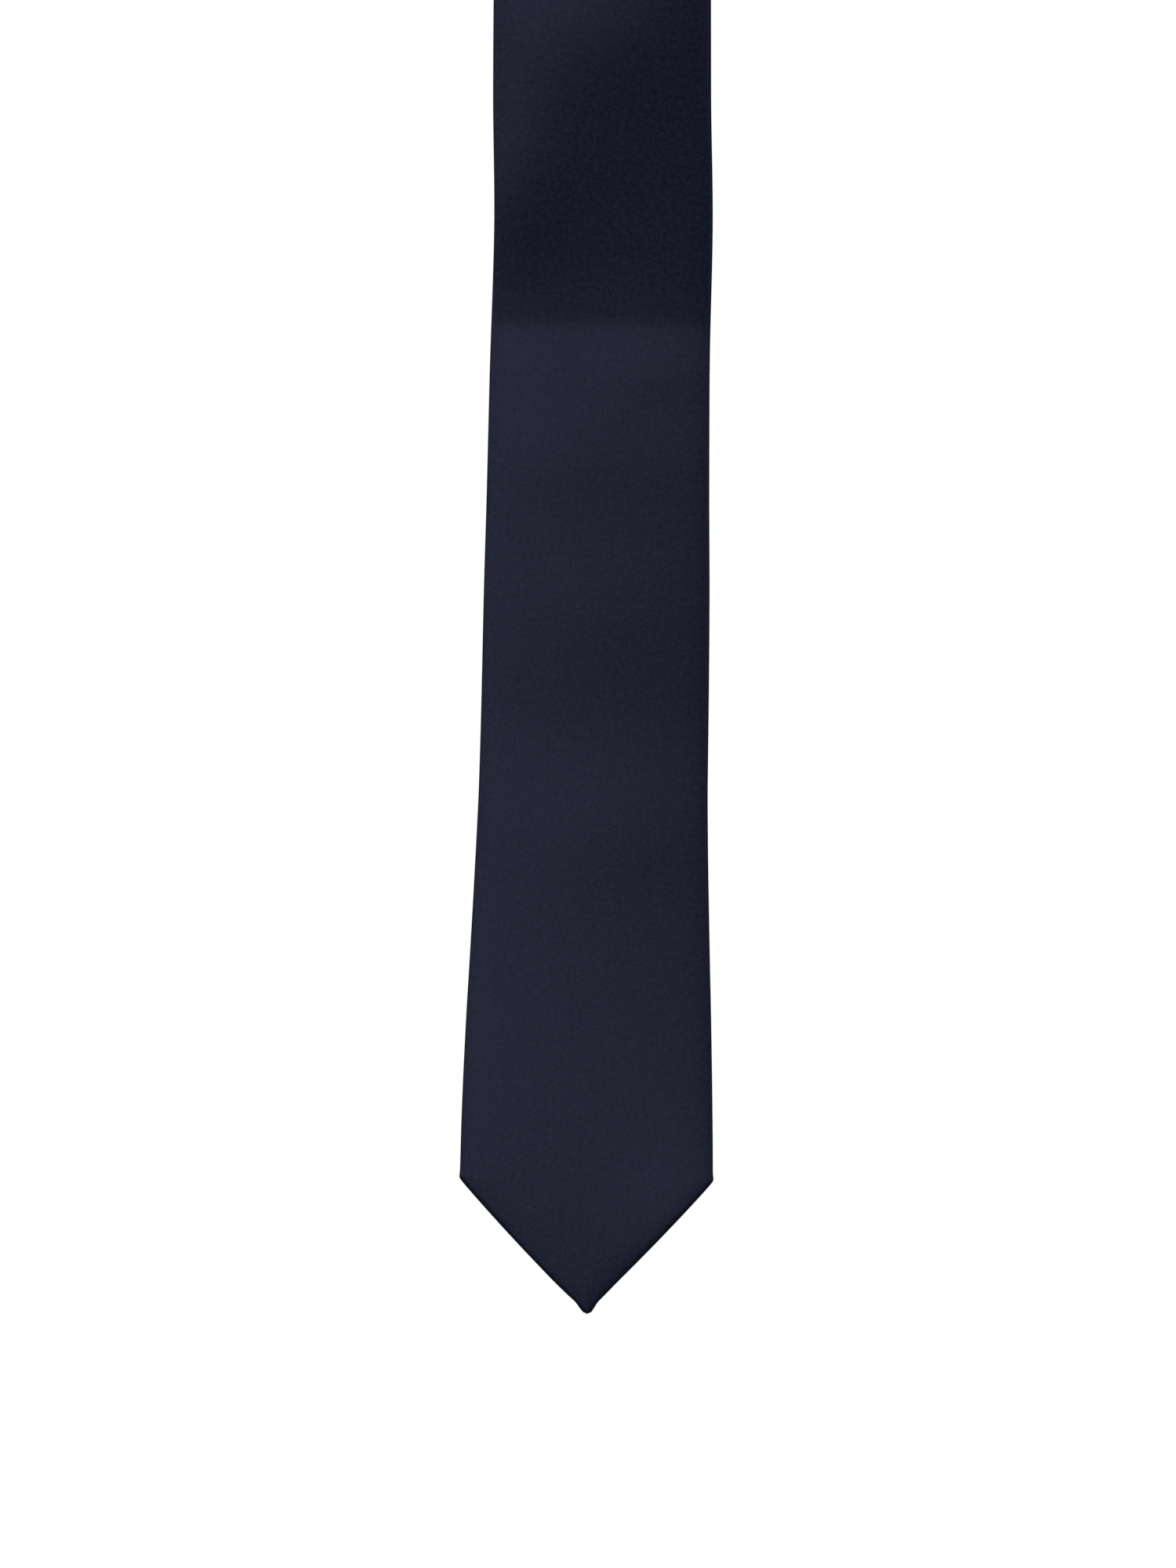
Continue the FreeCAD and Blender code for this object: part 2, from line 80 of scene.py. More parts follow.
# %% [markdown]
# Sizes read from the frame
#
# Lengths in this file are millimetres, because that is how a tie is measured. They are turned to
# metres where a mesh is made or a size is printed. "Drop" is the distance down a leg from the rod,
# "depth" is the distance in from the face of the cloth. Both legs use the same two measures, so one
# set of functions shapes the front blade and the tail.

# %% Sizes read from the frame
MM = 0.001


def box_mm(node):
    """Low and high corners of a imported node, in mm."""
    low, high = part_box(node)
    return np.array(low) / MM, np.array(high) / MM


ROD = frame["record"]["mounts"][0]["dims"]["r_mm"]
FACE_OUT = -box_mm("neck_shell_front")[0][1]
ARC = (ROD + FACE_OUT) / 2
NECK_HALF = box_mm("neck_shell_front")[1][0]
SEAM = -sum(corner[2] for corner in box_mm("front_piecing_seam")) / 2
print(f"rod {2 * ROD:.0f} mm, cloth face {FACE_OUT:.1f} mm out, neck {2 * NECK_HALF:.0f} mm wide")

# %% [markdown]
# Camera
#
# A tie is shown straight on, from far enough away that the blade's edges stay straight. A near
# camera with a wide lens would spread them. A long lens from four metres doesn't. A tie rarely
# hangs quite plumb, so the camera is rolled by a small angle and the cloth itself stays true.

# %% Camera
FRAME_HEIGHT = 434.0
CAMERA_AWAY = 4000.0
CAMERA_ROLL = math.radians(0.68)
TIP_BELOW_CENTRE = 146.2

tip_z = box_mm("front_shell_lower")[0][2]
camera_data = bpy.data.cameras.new("straight_on")
camera_data.sensor_width = 36.0
camera_data.lens = camera_data.sensor_width * CAMERA_AWAY / FRAME_HEIGHT
camera_data.clip_end = 20.0
camera = bpy.data.objects.new("straight_on", camera_data)
camera.rotation_euler = (math.pi / 2, -CAMERA_ROLL, 0.0)
camera.location = (
    -TIP_BELOW_CENTRE * math.sin(CAMERA_ROLL) * MM,
    -(CAMERA_AWAY + FACE_OUT) * MM,
    (tip_z + TIP_BELOW_CENTRE * math.cos(CAMERA_ROLL)) * MM,
)
bpy.context.scene.collection.objects.link(camera)
bpy.context.scene.camera = camera
print(f"lens {camera_data.lens:.0f} mm at {CAMERA_AWAY / 1000:.1f} m")

# %% [markdown]
# Colours and nodes
#
# Colours are written as sRGB hex, the way a dyer's card or a screen gives them, and one function
# turns them to the linear values that shaders work in. One more function adds a node with its
# settings and its links, so a material reads as a list of what feeds what.

# %% Colours and nodes


def linear(hex_colour):
    """Linear RGBA of an sRGB hex colour."""
    parts = [int(hex_colour[k : k + 2], 16) / 255 for k in (1, 3, 5)]
    bent = [c / 12.92 if c <= 0.04045 else ((c + 0.055) / 1.055) ** 2.4 for c in parts]
    return (*bent, 1.0)


def add(tree, kind, settings=None, **inputs):
    """A new node. Settings are its properties; inputs are values, or sockets to link from."""
    node = tree.nodes.new("ShaderNode" + kind)
    for name, value in (settings or {}).items():
        setattr(node, name, value)
    for name, value in inputs.items():
        key = int(name[1:]) if name[0] == "i" and name[1:].isdigit() else name.replace("_", " ")
        if isinstance(value, bpy.types.NodeSocket):
            tree.links.new(value, node.inputs[key])
        else:
            node.inputs[key].default_value = value
    return node


SCALE_AND_SHIFT = {"operation": "MULTIPLY_ADD"}


def new_material(name):
    """An empty node material and its tree."""
    material = bpy.data.materials.new(name)
    material.use_nodes = True
    material.node_tree.nodes.clear()
    return material, material.node_tree


print("half grey, #808080, is", round(linear("#808080")[0], 3), "in linear light")

# %% [markdown]
# Four soft boxes
#
# Dark glossy cloth is drawn by what it mirrors. Small lamps would give it hard streaks, so all
# the light comes from wide soft boxes in a dim room. The key hangs in front and ends just below
# the tie: cloth that faces a little upward mirrors it and is lit, cloth that faces a little
# downward mirrors the dim room under it and goes dark. The left box is stronger than the right
# one, which leaves the right edge of each fold darker. The back box lights the sewn side.

# %% Four soft boxes
SOFT_BOX_LIGHTS = {
    # name: (place, aim, width, height, watts), in metres
    "key_soft_box": ((-0.65, -3.2, 0.0), (-0.65, 0.0, 0.0), 2.7, 1.8, 16.0),
    "left_soft_box": ((-2.2, -1.3, 0.0), (0.0, 0.0, -0.5), 1.2, 1.6, 8.0),
    "right_soft_box": ((2.2, -1.3, -0.2), (0.0, 0.0, -0.5), 1.2, 1.6, 4.0),
    "back_soft_box": ((0.5, 3.0, 0.1), (0.5, 0.0, 0.0), 2.6, 1.9, 30.0),
}

for light_name, (place, aim, width, height, watts) in SOFT_BOX_LIGHTS.items():
    light_data = bpy.data.lights.new(light_name, "AREA")
    light_data.shape = "RECTANGLE"
    light_data.size, light_data.size_y = width, height
    light_data.energy = watts
    light = bpy.data.objects.new(light_name, light_data)
    light.location = place
    light.visible_camera = False
    toward = np.array(aim) - np.array(place)
    light.rotation_euler = Vector(toward).to_track_quat("-Z", "Y").to_euler()
    bpy.context.scene.collection.objects.link(light)
    print(f"{light_name}: {width} x {height} m, {watts:.0f} W")

# %% [markdown]
# The room
#
# A white room would light the cloth from all sides and wash its folds out. So the world is two
# things at once: plain white where the camera looks past the tie, and a dim cool grey for all
# light that reaches the cloth.

# %% The room
ROOM_LIGHT = 0.09

world = bpy.data.worlds.new("studio")
world.use_nodes = True
tree = world.node_tree
tree.nodes.clear()
seen = add(tree, "LightPath")
dim_room = add(tree, "Background", Color=linear("#D8DCE4"), Strength=ROOM_LIGHT)
white_wall = add(tree, "Background", Color=linear("#FFFFFF"), Strength=1.0)
room = add(
    tree,
    "MixShader",
    Fac=seen.outputs["Is Camera Ray"],
    i1=dim_room.outputs[0],
    i2=white_wall.outputs[0],
)
add(tree, "OutputWorld", Surface=room.outputs[0])
bpy.context.scene.world = world
bpy.context.scene.view_settings.view_transform = "Standard"
print(f"room light {ROOM_LIGHT} behind a white wall")

# %% [markdown]
# The floor
#
# The tie hangs well clear of a pale floor. A painted disc alone would look grey in so dim a room
# and show its rim against the white wall, so the paint is mixed with a white glow that grows away
# from the middle. Only the camera sees the floor: it neither lights the cloth nor shows in its
# gloss.

# %% The floor
FLOOR_DROP = 1.05
FLOOR_RADIUS = 3.0
FLOOR_FADE = (0.25, 1.0)
FLOOR_GLOW = 0.8

floor_material, tree = new_material("pale_floor")
floor_place = add(tree, "TexCoord")
floor_away = add(tree, "VectorMath", {"operation": "LENGTH"}, i0=floor_place.outputs["Object"])
floor_fade = add(
    tree, "MapRange", {"interpolation_type": "SMOOTHSTEP"}, Value=floor_away.outputs[1]
)
floor_fade.inputs["From Min"].default_value = FLOOR_FADE[0]
floor_fade.inputs["From Max"].default_value = FLOOR_FADE[1]
floor_fade.inputs["To Min"].default_value = FLOOR_GLOW
floor_paint = add(tree, "BsdfDiffuse", Color=linear("#F2F2F0"))
floor_glow = add(tree, "Emission", Color=linear("#FFFFFF"), Strength=1.0)
floor_mix = add(
    tree,
    "MixShader",
    Fac=floor_fade.outputs[0],
    i1=floor_paint.outputs[0],
    i2=floor_glow.outputs[0],
)
add(tree, "OutputMaterial", Surface=floor_mix.outputs[0])

bpy.ops.mesh.primitive_circle_add(vertices=96, radius=FLOOR_RADIUS, fill_type="NGON")
floor = bpy.context.object
floor.name = "pale_floor"
floor.location.z = -FLOOR_DROP
floor.data.materials.append(floor_material)
floor.visible_diffuse = False
floor.visible_glossy = False
floor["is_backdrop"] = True
print(f"floor {FLOOR_DROP:.2f} m below the rod, {2 * FLOOR_RADIUS:.0f} m across")

# %% [markdown]
# A cutter's curve
#
# Both the outline and the way the cloth hangs are given by a few measures down the tie. Straight
# lines between them would leave corners, and an ordinary spline would bulge past them. A cutter's
# rule does neither, so this curve passes through every measure and never overshoots.

# %% A cutter's curve


def smooth_step(share):
    """0 to 1 as share goes from 0 to 1, level at both ends."""
    share = np.clip(share, 0.0, 1.0)
    return share * share * (3.0 - 2.0 * share)


def through(knots, at):
    """Smooth curve through (place, value) knots that never overshoots them."""
    place, value = np.array(knots, float).T
    gap = np.diff(place)
    rise = np.diff(value) / gap
    slope = np.concatenate([rise[:1], np.zeros(len(rise) - 1), rise[-1:]])
    same_way = rise[:-1] * rise[1:] > 0
    mean = 2.0 * rise[:-1] * rise[1:] / np.where(same_way, rise[:-1] + rise[1:], 1.0)
    slope[1:-1] = np.where(same_way, mean, 0.0)
    k = np.clip(np.searchsorted(place, at) - 1, 0, len(gap) - 1)
    share = np.clip((at - place[k]) / gap[k], 0.0, 1.0)
    rest = 1.0 - share
    ends = value[k] * (1.0 + 2.0 * share) * rest**2
    ends += value[k + 1] * (1.0 + 2.0 * rest) * share**2
    return ends + gap[k] * share * rest * (slope[k] * rest - slope[k + 1] * share)


print("halfway from 0 to 1, then level:", through([(0, 0.0), (1, 1.0), (2, 1.0)], np.array([0.5])))

# %% [markdown]
# The outline of a leg
#
# A tie is cut with a few widths: narrow and even round the neck, widening down the blade, and
# flaring a little just above the shoulders, where the turned hem pushes the corner out. The point
# could be a plain triangle. It is two slightly bulging edges that end in a small round nub, where
# the turned cloth is too thick to come to a sharp corner.

# %% The outline of a leg
POINT_BULGE = 0.07
# The hem pushes the corner out by EAR, most of all a little above the shoulder.
EAR = 0.3
EAR_ABOVE = 0.3
EAR_REACH = 1.3
SHOULDER_ROUND = 0.25
# Height above the tip and half width of the nub.
NOSE = np.array([(0.0, 0.0), (0.1, 0.65), (0.35, 1.15), (0.9, 1.6), (1.9, 2.3), (3.0, 3.05)])
NOSE_ENDS = 5.0
KITE_HEM = 8.0
LAP_FADE = 16.0


class Leg:
    """One leg of the tie: its widths down the drop, its point, its back and which way it faces."""

    def __init__(self, side, shoulder, widths):
        low, high = box_mm(f"{side}_shell_lower")
        self.side = side
        self.turn = 1.0 if side == "front" else -1.0
        self.tip = -low[2]
        self.half = high[0]
        self.shoulder = shoulder
        self.point = self.tip - shoulder
        self.tack = -box_mm(f"{side}_bar_tack")[0][2]
        self.knots = [(0.0, NECK_HALF), (SEAM + NECK_HALF, NECK_HALF), *widths]
        self.knots.append((shoulder, self.half))
        self.slant = math.cos(math.atan2(self.half, self.point))

    def side_half(self, drop):
        ear = EAR * np.exp(-(((drop - self.shoulder + EAR_ABOVE) / EAR_REACH) ** 2))
        return through(self.knots, drop) + ear

    def slanted_half(self, height):
        share = height / self.point
        return self.half * share * (1.0 - POINT_BULGE * share) / (1.0 - POINT_BULGE)

    def point_half(self, drop):
        height = np.clip(self.tip - drop, 0.0, 1.1 * self.point)
        above = NOSE_ENDS + 2.0
        nose = [*NOSE, (NOSE_ENDS, self.slanted_half(NOSE_ENDS)), (above, self.slanted_half(above))]
        return np.where(height < NOSE_ENDS, through(nose, height), self.slanted_half(height))

    def half_width(self, drop):
        """Half the width at a drop, with the corner at the shoulder slightly rounded."""
        side, point = self.side_half(drop), self.point_half(drop)
        return np.minimum(side, point) - SHOULDER_ROUND * np.exp(-abs(side - point) / 0.6)

    def from_edge(self, across, drop):
        """How far in from the nearest edge of the outline a place is."""
        side = self.half_width(drop) - abs(across)
        slanted = (self.point_half(drop) - abs(across)) * self.slant
        bottom = self.tip - drop - np.interp(abs(across), NOSE[:, 1], NOSE[:, 0])
        return np.maximum(np.minimum(np.minimum(side, slanted), bottom), 0.0)

    def kite(self, drop):
        """Half width of the opening between the flaps, below the bar tack."""
        places = (self.tack, self.shoulder - KITE_HEM / 2, self.tip - 1.5 * KITE_HEM)
        return np.interp(drop, places, (0.0, self.half - KITE_HEM, 0.0))

    def closed(self, drop):
        """1 where the flaps lap over each other, falling to 0 at the bar tack."""
        return smooth_step((self.tack - drop) / LAP_FADE)


print(f"nub {2 * NOSE[-1][1]:.0f} mm wide, {NOSE[-1][0]:.0f} mm above the tip")

# %% [markdown]
# The two legs
#
# The front blade is the wide one, 70 mm at its shoulders. The tail is the same shape at two
# thirds of the width. Each is given by half its width at a few drops, ending at its shoulders.

# %% The two legs
# Knots of (drop, half width).
FRONT_WIDTHS = [(430, 29.2), (500, 30.1), (578, 30.35), (632, 30.85), (660, 31.3), (712, 31.7)]
FRONT_WIDTHS += [(728, 32.1), (755, 33.05), (782, 34.1), (808, 34.8)]
front = Leg("front", 821.4, FRONT_WIDTHS)
tail = Leg("tail", 577.0, [(310, 19.5), (430, 20.9), (520, 22.0)])
for leg in (front, tail):
    print(f"{leg.side}: tip {leg.tip:.0f} mm down, {2 * leg.half:.0f} mm wide at the shoulders")

# %% [markdown]
# How the legs hang
#
# A leg could hang as flat as a ruler, but real cloth over wool never does. The front blade leans
# out, falls back to a soft step where the keeper loop is sewn behind it, and leans out again
# towards its point. That step is what the light finds: above it the face looks down and is dark,
# below it the face looks up and is lit. A slight crown down the middle and a few low swells break
# up the rest. All of it is added alike to every layer, so that the layers stay nested and nothing
# is painted on.

# %% How the legs hang
CREASE = (box_mm("keeper_loop")[0][2] + box_mm("keeper_loop")[1][2]) / -2

# Knots of (drop, outward) for the line that each leg hangs along.
FRONT_LEAN = [(0, 0.0), (200, 0.4), (400, 5.0), (458, 7.2), (478, 7.4), (500, 6.4), (535, 2.8)]
FRONT_LEAN += [(572, -1.25), (CREASE - 3, -2.0), (CREASE + 1, -2.28), (CREASE + 2, -2.28)]
FRONT_LEAN += [(CREASE + 6, -2.08), (600, -1.35), (628, -0.6), (690, -0.6), (729, 0.7)]
FRONT_LEAN += [(767, 2.8), (820, 6.8), (858, 8.8)]
TAIL_LEAN = [(0, 0.0), (160, 0.6), (300, 2.2), (430, 1.2), (540, 2.0), (600, 2.6)]

FRONT_SWELLS = [
    # across, drop, reach across, reach down, lean, height
    (30.0, 476.0, 24.0, 24.0, 0.0, 1.0),
    (-30.0, 550.0, 22.0, 30.0, -0.3, 1.9),
    (14.0, 596.0, 16.0, 9.0, 0.0, 0.35),
    (-20.0, 590.0, 14.0, 12.0, 0.0, 0.3),
    (-10.0, 616.0, 16.0, 18.0, 0.3, 0.4),
    (0.0, 664.0, 24.0, 16.0, 0.0, 0.3),
    (4.0, 727.0, 26.0, 17.0, 0.0, 0.45),
    (38.0, 838.0, 25.0, 26.0, 0.0, 2.4),
]
TAIL_SWELLS = [
    (4.0, 260.0, 20.0, 40.0, 0.1, 0.6),
    (-6.0, 400.0, 20.0, 45.0, -0.2, -0.5),
    (5.0, 520.0, 18.0, 30.0, 0.2, 0.4),
]
# Knots of (drop, sideways).
FRONT_SWAY = [(0, 0.0), (300, 0.0), (480, -0.4), (520, -0.1), (558, 0.72), (600, 0.15)]
FRONT_SWAY += [(680, 0.0), (740, -0.5), (807, -0.9), (848, -0.8), (858, -0.25)]
TAIL_SWAY = [(0, 0.0), (120, 0.0), (260, 1.1), (420, 0.9), (600, -0.4)]

print(f"step in the front blade at {CREASE:.0f} mm, {len(FRONT_SWELLS)} swells in it")

# %% [markdown]
# From cloth to space
#
# A place is given on the cloth by how far across, how far down and how deep it is. Down a leg
# that is nearly a plain copy, moved by the leg's hang and crown. Above the rod's middle the
# drop turns into an angle, and the cloth bends round the rod with no change of length.

# %% From cloth to space
CROWN = 1.0
CROWN_FROM = 60.0
FULL_CROWN = 1.6
FULL_CROWN_DROP = 500.0
FULL_CROWN_REACH = 34.0


def swell(across, drop, bumps):
    """Sum of smooth bumps. A bump with lean is a slanting one."""
    total = np.zeros(np.broadcast(across, drop).shape)
    for centre, down, wide, tall, lean, height in bumps:
        off_x = (across - centre) / wide
        off_z = (drop - down - lean * (across - centre)) / tall
        total = total + height * np.exp(-(off_x**2) - off_z**2)
    return total


def hang(leg, across, drop):
    """(sideways, outward) shift of a place on a leg, in mm."""
    if leg.side == "front":
        sway, lean, bumps = FRONT_SWAY, FRONT_LEAN, FRONT_SWELLS
        full = FULL_CROWN * np.exp(-(((drop - FULL_CROWN_DROP) / FULL_CROWN_REACH) ** 2))
    else:
        sway, lean, bumps = TAIL_SWAY, TAIL_LEAN, TAIL_SWELLS
        full = 0.0
    down = np.clip(drop, 0.0, leg.tip)
    crown = (CROWN + full) * (1.0 - (across / leg.side_half(drop)) ** 2)
    crown = crown * smooth_step(drop / CROWN_FROM)
    return through(sway, down), through(lean, down) + swell(across, drop, bumps) + crown


def place_on_leg(leg, across, drop, depth):
    """Row-frame points, in mm, of places given on a leg. Above the rod they bend round it."""
    across, drop, depth = np.broadcast_arrays(across, drop, depth)
    sideways, outward = hang(leg, across, drop)
    angle = np.clip(-drop, 0.0, None) / ARC
    radius = FACE_OUT - depth
    out = radius * np.cos(angle) + outward
    up = radius * np.sin(angle) - np.clip(drop, 0.0, None)
    return np.stack([leg.turn * (across + sideways), -leg.turn * out, up], axis=-1)


step = hang(front, 0.0, np.array([FULL_CROWN_DROP, CREASE, front.tip]))[1]
print("front blade stands out", ", ".join(f"{out:.1f} mm" for out in step))

# %% [markdown]
# From rows of points to a piece
#
# Each piece is a grid: rows of points across the tie, one below the other. A grid keeps the mesh
# even, and it lets every point remember where it lay on the flat cloth, which the weave needs:
# the threads then follow each fold, on every face of it.

# %% From rows of points to a piece
CLOTH_MAP = "flat_cloth"
WELD_WITHIN = 1e-6


def new_piece(name, points, faces, flat, material):
    """An object from points in mm, with the cloth's flat places kept as an attribute."""
    mesh = bpy.data.meshes.new(name)
    mesh.from_pydata((np.asarray(points, float) * MM).tolist(), [], faces)
    mesh.validate()
    kept = mesh.attributes.new(CLOTH_MAP, "FLOAT_VECTOR", "POINT")
    kept.data.foreach_set("vector", np.asarray(flat, np.float32).ravel())
    mesh.polygons.foreach_set("use_smooth", np.ones(len(mesh.polygons), bool))
    mesh.materials.append(material)
    piece = bpy.data.objects.new(name, mesh)
    bpy.context.scene.collection.objects.link(piece)
    return piece


def grid_faces(rows, columns, closed=False):
    """Quads of a grid, with normals out of the face; closed joins the last column to the first."""
    faces = []
    for i in range(rows - 1):
        for j in range(columns if closed else columns - 1):
            k = (j + 1) % columns
            faces.append(
                (i * columns + j, (i + 1) * columns + j, (i + 1) * columns + k, i * columns + k)
            )
    return faces


def cloth_from_grid(name, grid, across, down, material, thickness):
    """A sheet from a grid of points, thickened inward, with its cut edges left crisp."""
    rows, columns = grid.shape[:2]
    flat = np.stack([across, np.broadcast_to(down, across.shape), np.zeros_like(across)], axis=-1)
    piece = new_piece(
        name, grid.reshape(-1, 3), grid_faces(rows, columns), flat.reshape(-1, 3), material
    )
    mesh = piece.data
    use = np.zeros(len(mesh.edges), int)
    edge_of_corner = np.zeros(len(mesh.loops), int)
    mesh.loops.foreach_get("edge_index", edge_of_corner)
    np.add.at(use, edge_of_corner, 1)
    mesh.edges.foreach_set("use_edge_sharp", use == 1)
    weld = piece.modifiers.new("weld_point", "WELD")
    weld.merge_threshold = WELD_WITHIN
    solid = piece.modifiers.new("cloth_thickness", "SOLIDIFY")
    solid.thickness = thickness * MM
    solid.offset = -1.0
    return piece


print("a grid of 3 rows and 4 columns has", len(grid_faces(3, 4)), "faces")

# %% [markdown]
# Threads on the bias
#
# Tie cloth is cut on the bias, so that it stretches and springs back. Its threads lie at 45
# degrees to the tie, and the twill ribs, one thread over and one along at each pass, cross them
# at a steeper angle. All of it is worked out from the flat cloth, so it turns with every fold.

# %% Threads on the bias
THREAD_PITCH = 0.26


def bias_threads(tree, pitch):
    """The flat cloth, the same turned to its threads, in mm, and the height of the ribs."""
    flat = add(tree, "Attribute", {"attribute_name": CLOTH_MAP})
    turned = add(
        tree,
        "VectorRotate",
        {"rotation_type": "Z_AXIS"},
        Vector=flat.outputs["Vector"],
        Angle=math.radians(45.0),
    )
    apart = add(tree, "SeparateXYZ", Vector=turned.outputs[0])
    turns = 2.0 * math.pi / pitch
    warp = add(tree, "Math", {"operation": "MULTIPLY"}, i0=apart.outputs[0], i1=turns)
    step = add(tree, "Math", {"operation": "MULTIPLY"}, i0=apart.outputs[1], i1=turns / 3.0)
    shifted = add(tree, "Math", {"operation": "ADD"}, i0=warp.outputs[0], i1=step.outputs[0])
    rib = add(tree, "Math", {"operation": "SINE"}, i0=shifted.outputs[0])
    return flat, turned, rib


print(f"threads drawn {THREAD_PITCH} mm apart")

# %% [markdown]
# Silk twill
#
# The shell is navy silk twill: warp and weft of fine filament yarn, woven so that each thread
# floats over two or three. Long floats give a soft shine in the cloth's own colour, and slight
# differences between the yarns give it a fine grain. Threads are really about 0.12 mm apart, and
# the thick and thin places in a yarn a few millimetres long. Both are drawn at sizes that show:
# threads twice as coarse, and thick places 1.6 mm long. The IOR of silk is 1.54, and cotton and
# polyester are close to it. Pressed twill is fairly smooth. The glint is tinted slightly blue,
# because light that passes between the fibres takes the dye.

# %% Silk twill
YARN_LENGTH = 1.6
YARN_CONTRAST = 1.8
MOTTLE_CONTRAST = 0.9
RIB_CONTRAST = 0.12
RIB_RELIEF = 0.35
RELIEF_DEPTH = 0.06 * MM
ROUGH_SPREAD = 0.12
FIBRE_IOR = 1.54


def silk_twill(name, dark, light, roughness, pitch=THREAD_PITCH):
    """Woven filament silk in two near shades of one dye. The two yarn noises add up to about 1."""
    material, tree = new_material(name)
    flat, turned, rib = bias_threads(tree, pitch)
    stretch = add(
        tree,
        "VectorMath",
        {"operation": "MULTIPLY"},
        i0=turned.outputs[0],
        i1=(1.0 / (2.0 * pitch), 1.0 / YARN_LENGTH, 1.0),
    )
    yarns = add(tree, "TexNoise", Vector=stretch.outputs[0], Scale=1.0, Detail=3.0, Roughness=0.6)
    cross = add(
        tree,
        "VectorMath",
        {"operation": "MULTIPLY"},
        i0=turned.outputs[0],
        i1=(1.0 / YARN_LENGTH, 1.0 / (2.0 * pitch), 1.0),
    )
    wefts = add(tree, "TexNoise", Vector=cross.outputs[0], Scale=1.0, Detail=3.0, Roughness=0.6)
    mottle = add(
        tree, "TexNoise", Vector=flat.outputs["Vector"], Scale=0.7, Detail=4.0, Roughness=0.7
    )
    grain = add(tree, "Math", {"operation": "ADD"}, i0=yarns.outputs[0], i1=wefts.outputs[0])
    middle = 0.5 - YARN_CONTRAST
    shade = add(tree, "Math", SCALE_AND_SHIFT, i0=grain.outputs[0], i1=YARN_CONTRAST, i2=middle)
    terms = {"i0": mottle.outputs[0], "i1": MOTTLE_CONTRAST, "i2": shade.outputs[0]}
    uneven = add(tree, "Math", SCALE_AND_SHIFT, **terms)
    terms = {"i0": rib.outputs[0], "i1": RIB_CONTRAST, "i2": uneven.outputs[0]}
    ribbed = add(tree, "Math", SCALE_AND_SHIFT, **terms)
    dyed = add(tree, "MapRange", Value=ribbed.outputs[0])
    dyed.inputs["From Min"].default_value = 0.45
    dyed.inputs["From Max"].default_value = 1.45
    colour = add(tree, "ValToRGB", Fac=dyed.outputs[0])
    colour.color_ramp.elements[0].color = linear(dark)
    colour.color_ramp.elements[1].color = linear(light)
    terms = {"i0": rib.outputs[0], "i1": RIB_RELIEF, "i2": grain.outputs[0]}
    height = add(tree, "Math", SCALE_AND_SHIFT, **terms)
    relief = add(tree, "Bump", Strength=0.35, Distance=RELIEF_DEPTH, Height=height.outputs[0])
    terms = {"i0": mottle.outputs[0], "i1": ROUGH_SPREAD, "i2": roughness - ROUGH_SPREAD / 2}
    rough = add(tree, "Math", SCALE_AND_SHIFT, **terms)
    cloth = add(
        tree,
        "BsdfPrincipled",
        Base_Color=colour.outputs[0],
        Roughness=rough.outputs[0],
        Normal=relief.outputs[0],
    )
    cloth.inputs["IOR"].default_value = FIBRE_IOR
    cloth.inputs["Specular IOR Level"].default_value = 0.5
    cloth.inputs["Specular Tint"].default_value = linear("#B6B9EC")
    cloth.inputs["Sheen Weight"].default_value = 0.04
    cloth.inputs["Sheen Roughness"].default_value = 0.4
    cloth.inputs["Sheen Tint"].default_value = linear("#6870A8")
    add(tree, "OutputMaterial", Surface=cloth.outputs[0])
    return material


navy_twill = silk_twill("navy_silk_twill_woven", "#131724", "#32384F", 0.3)
print("material", navy_twill.name)

# %% [markdown]
# Rolled edges
#
# A good tie is not creased along its edges but rolled: the cloth eases down towards the edge and
# turns round the wool with a radius of about a millimetre. That roll is what draws the thin dark
# line down both sides. Over the rod the tie is pressed flat by its own weight.

# %% Rolled edges
SHELL_CLOTH = 0.35
EDGE_ROLL = 1.15
EASE = 0.42
EASE_REACH = 2.8
THICK = 2.0 * EDGE_ROLL
PRESSED_TO = 14.0


def pressed(drop):
    """1 over the rod, where the tie is pressed flat, falling to 0 just below it."""
    return smooth_step(1.0 - np.asarray(drop) / PRESSED_TO)


def round_over(leg, across, drop):
    """Depth of the face where it rounds over towards the edge, and eases down before it."""
    away = leg.from_edge(across, drop)
    inside = np.minimum(away, EDGE_ROLL)
    rolled = EDGE_ROLL - np.sqrt(np.maximum(EDGE_ROLL**2 - (EDGE_ROLL - inside) ** 2, 0.0))
    eased = EASE * np.exp(-away / EASE_REACH) * (1.0 - rolled / EDGE_ROLL)
    return rolled + eased


print(f"cloth {SHELL_CLOTH} mm, folded tie {THICK:.1f} mm thick between the flaps")

# %% [markdown]
# One flap over the other
#
# On the back one flap laps 8 mm over the other. Two flat flaps would cut through each other there,
# so the top flap is lifted by the layers beneath it, first by the turned edges of both, then by
# the lower flap alone. Over the rod, where the tie is pressed, the lower flap sinks into the wool
# instead. Along the kite the free edges stand off the lining a little.

# %% One flap over the other
FLAP_LAP = 8.0
LAP_LIFT = 2.0 * SHELL_CLOTH + 0.05
KITE_LIFT = 0.25
KITE_LIFT_REACH = 11.0
TURN_UNDER = 5.0


def over_flap_depth(leg, drop, inward):
    """Depth of the top flap's outside, a distance inward from its free edge."""
    lapped = 0.5 - 0.5 * smooth_step((inward - TURN_UNDER - 0.2) / 2.0)
    lapped = lapped + 0.5 - 0.5 * smooth_step((inward - FLAP_LAP - 0.4) / 3.5)
    closed = leg.closed(drop)
    lift = closed * (1.0 - pressed(drop)) * LAP_LIFT * lapped
    standing = (1.0 - closed) * KITE_LIFT * (1.0 - smooth_step(inward / KITE_LIFT_REACH))
    return THICK + lift + standing


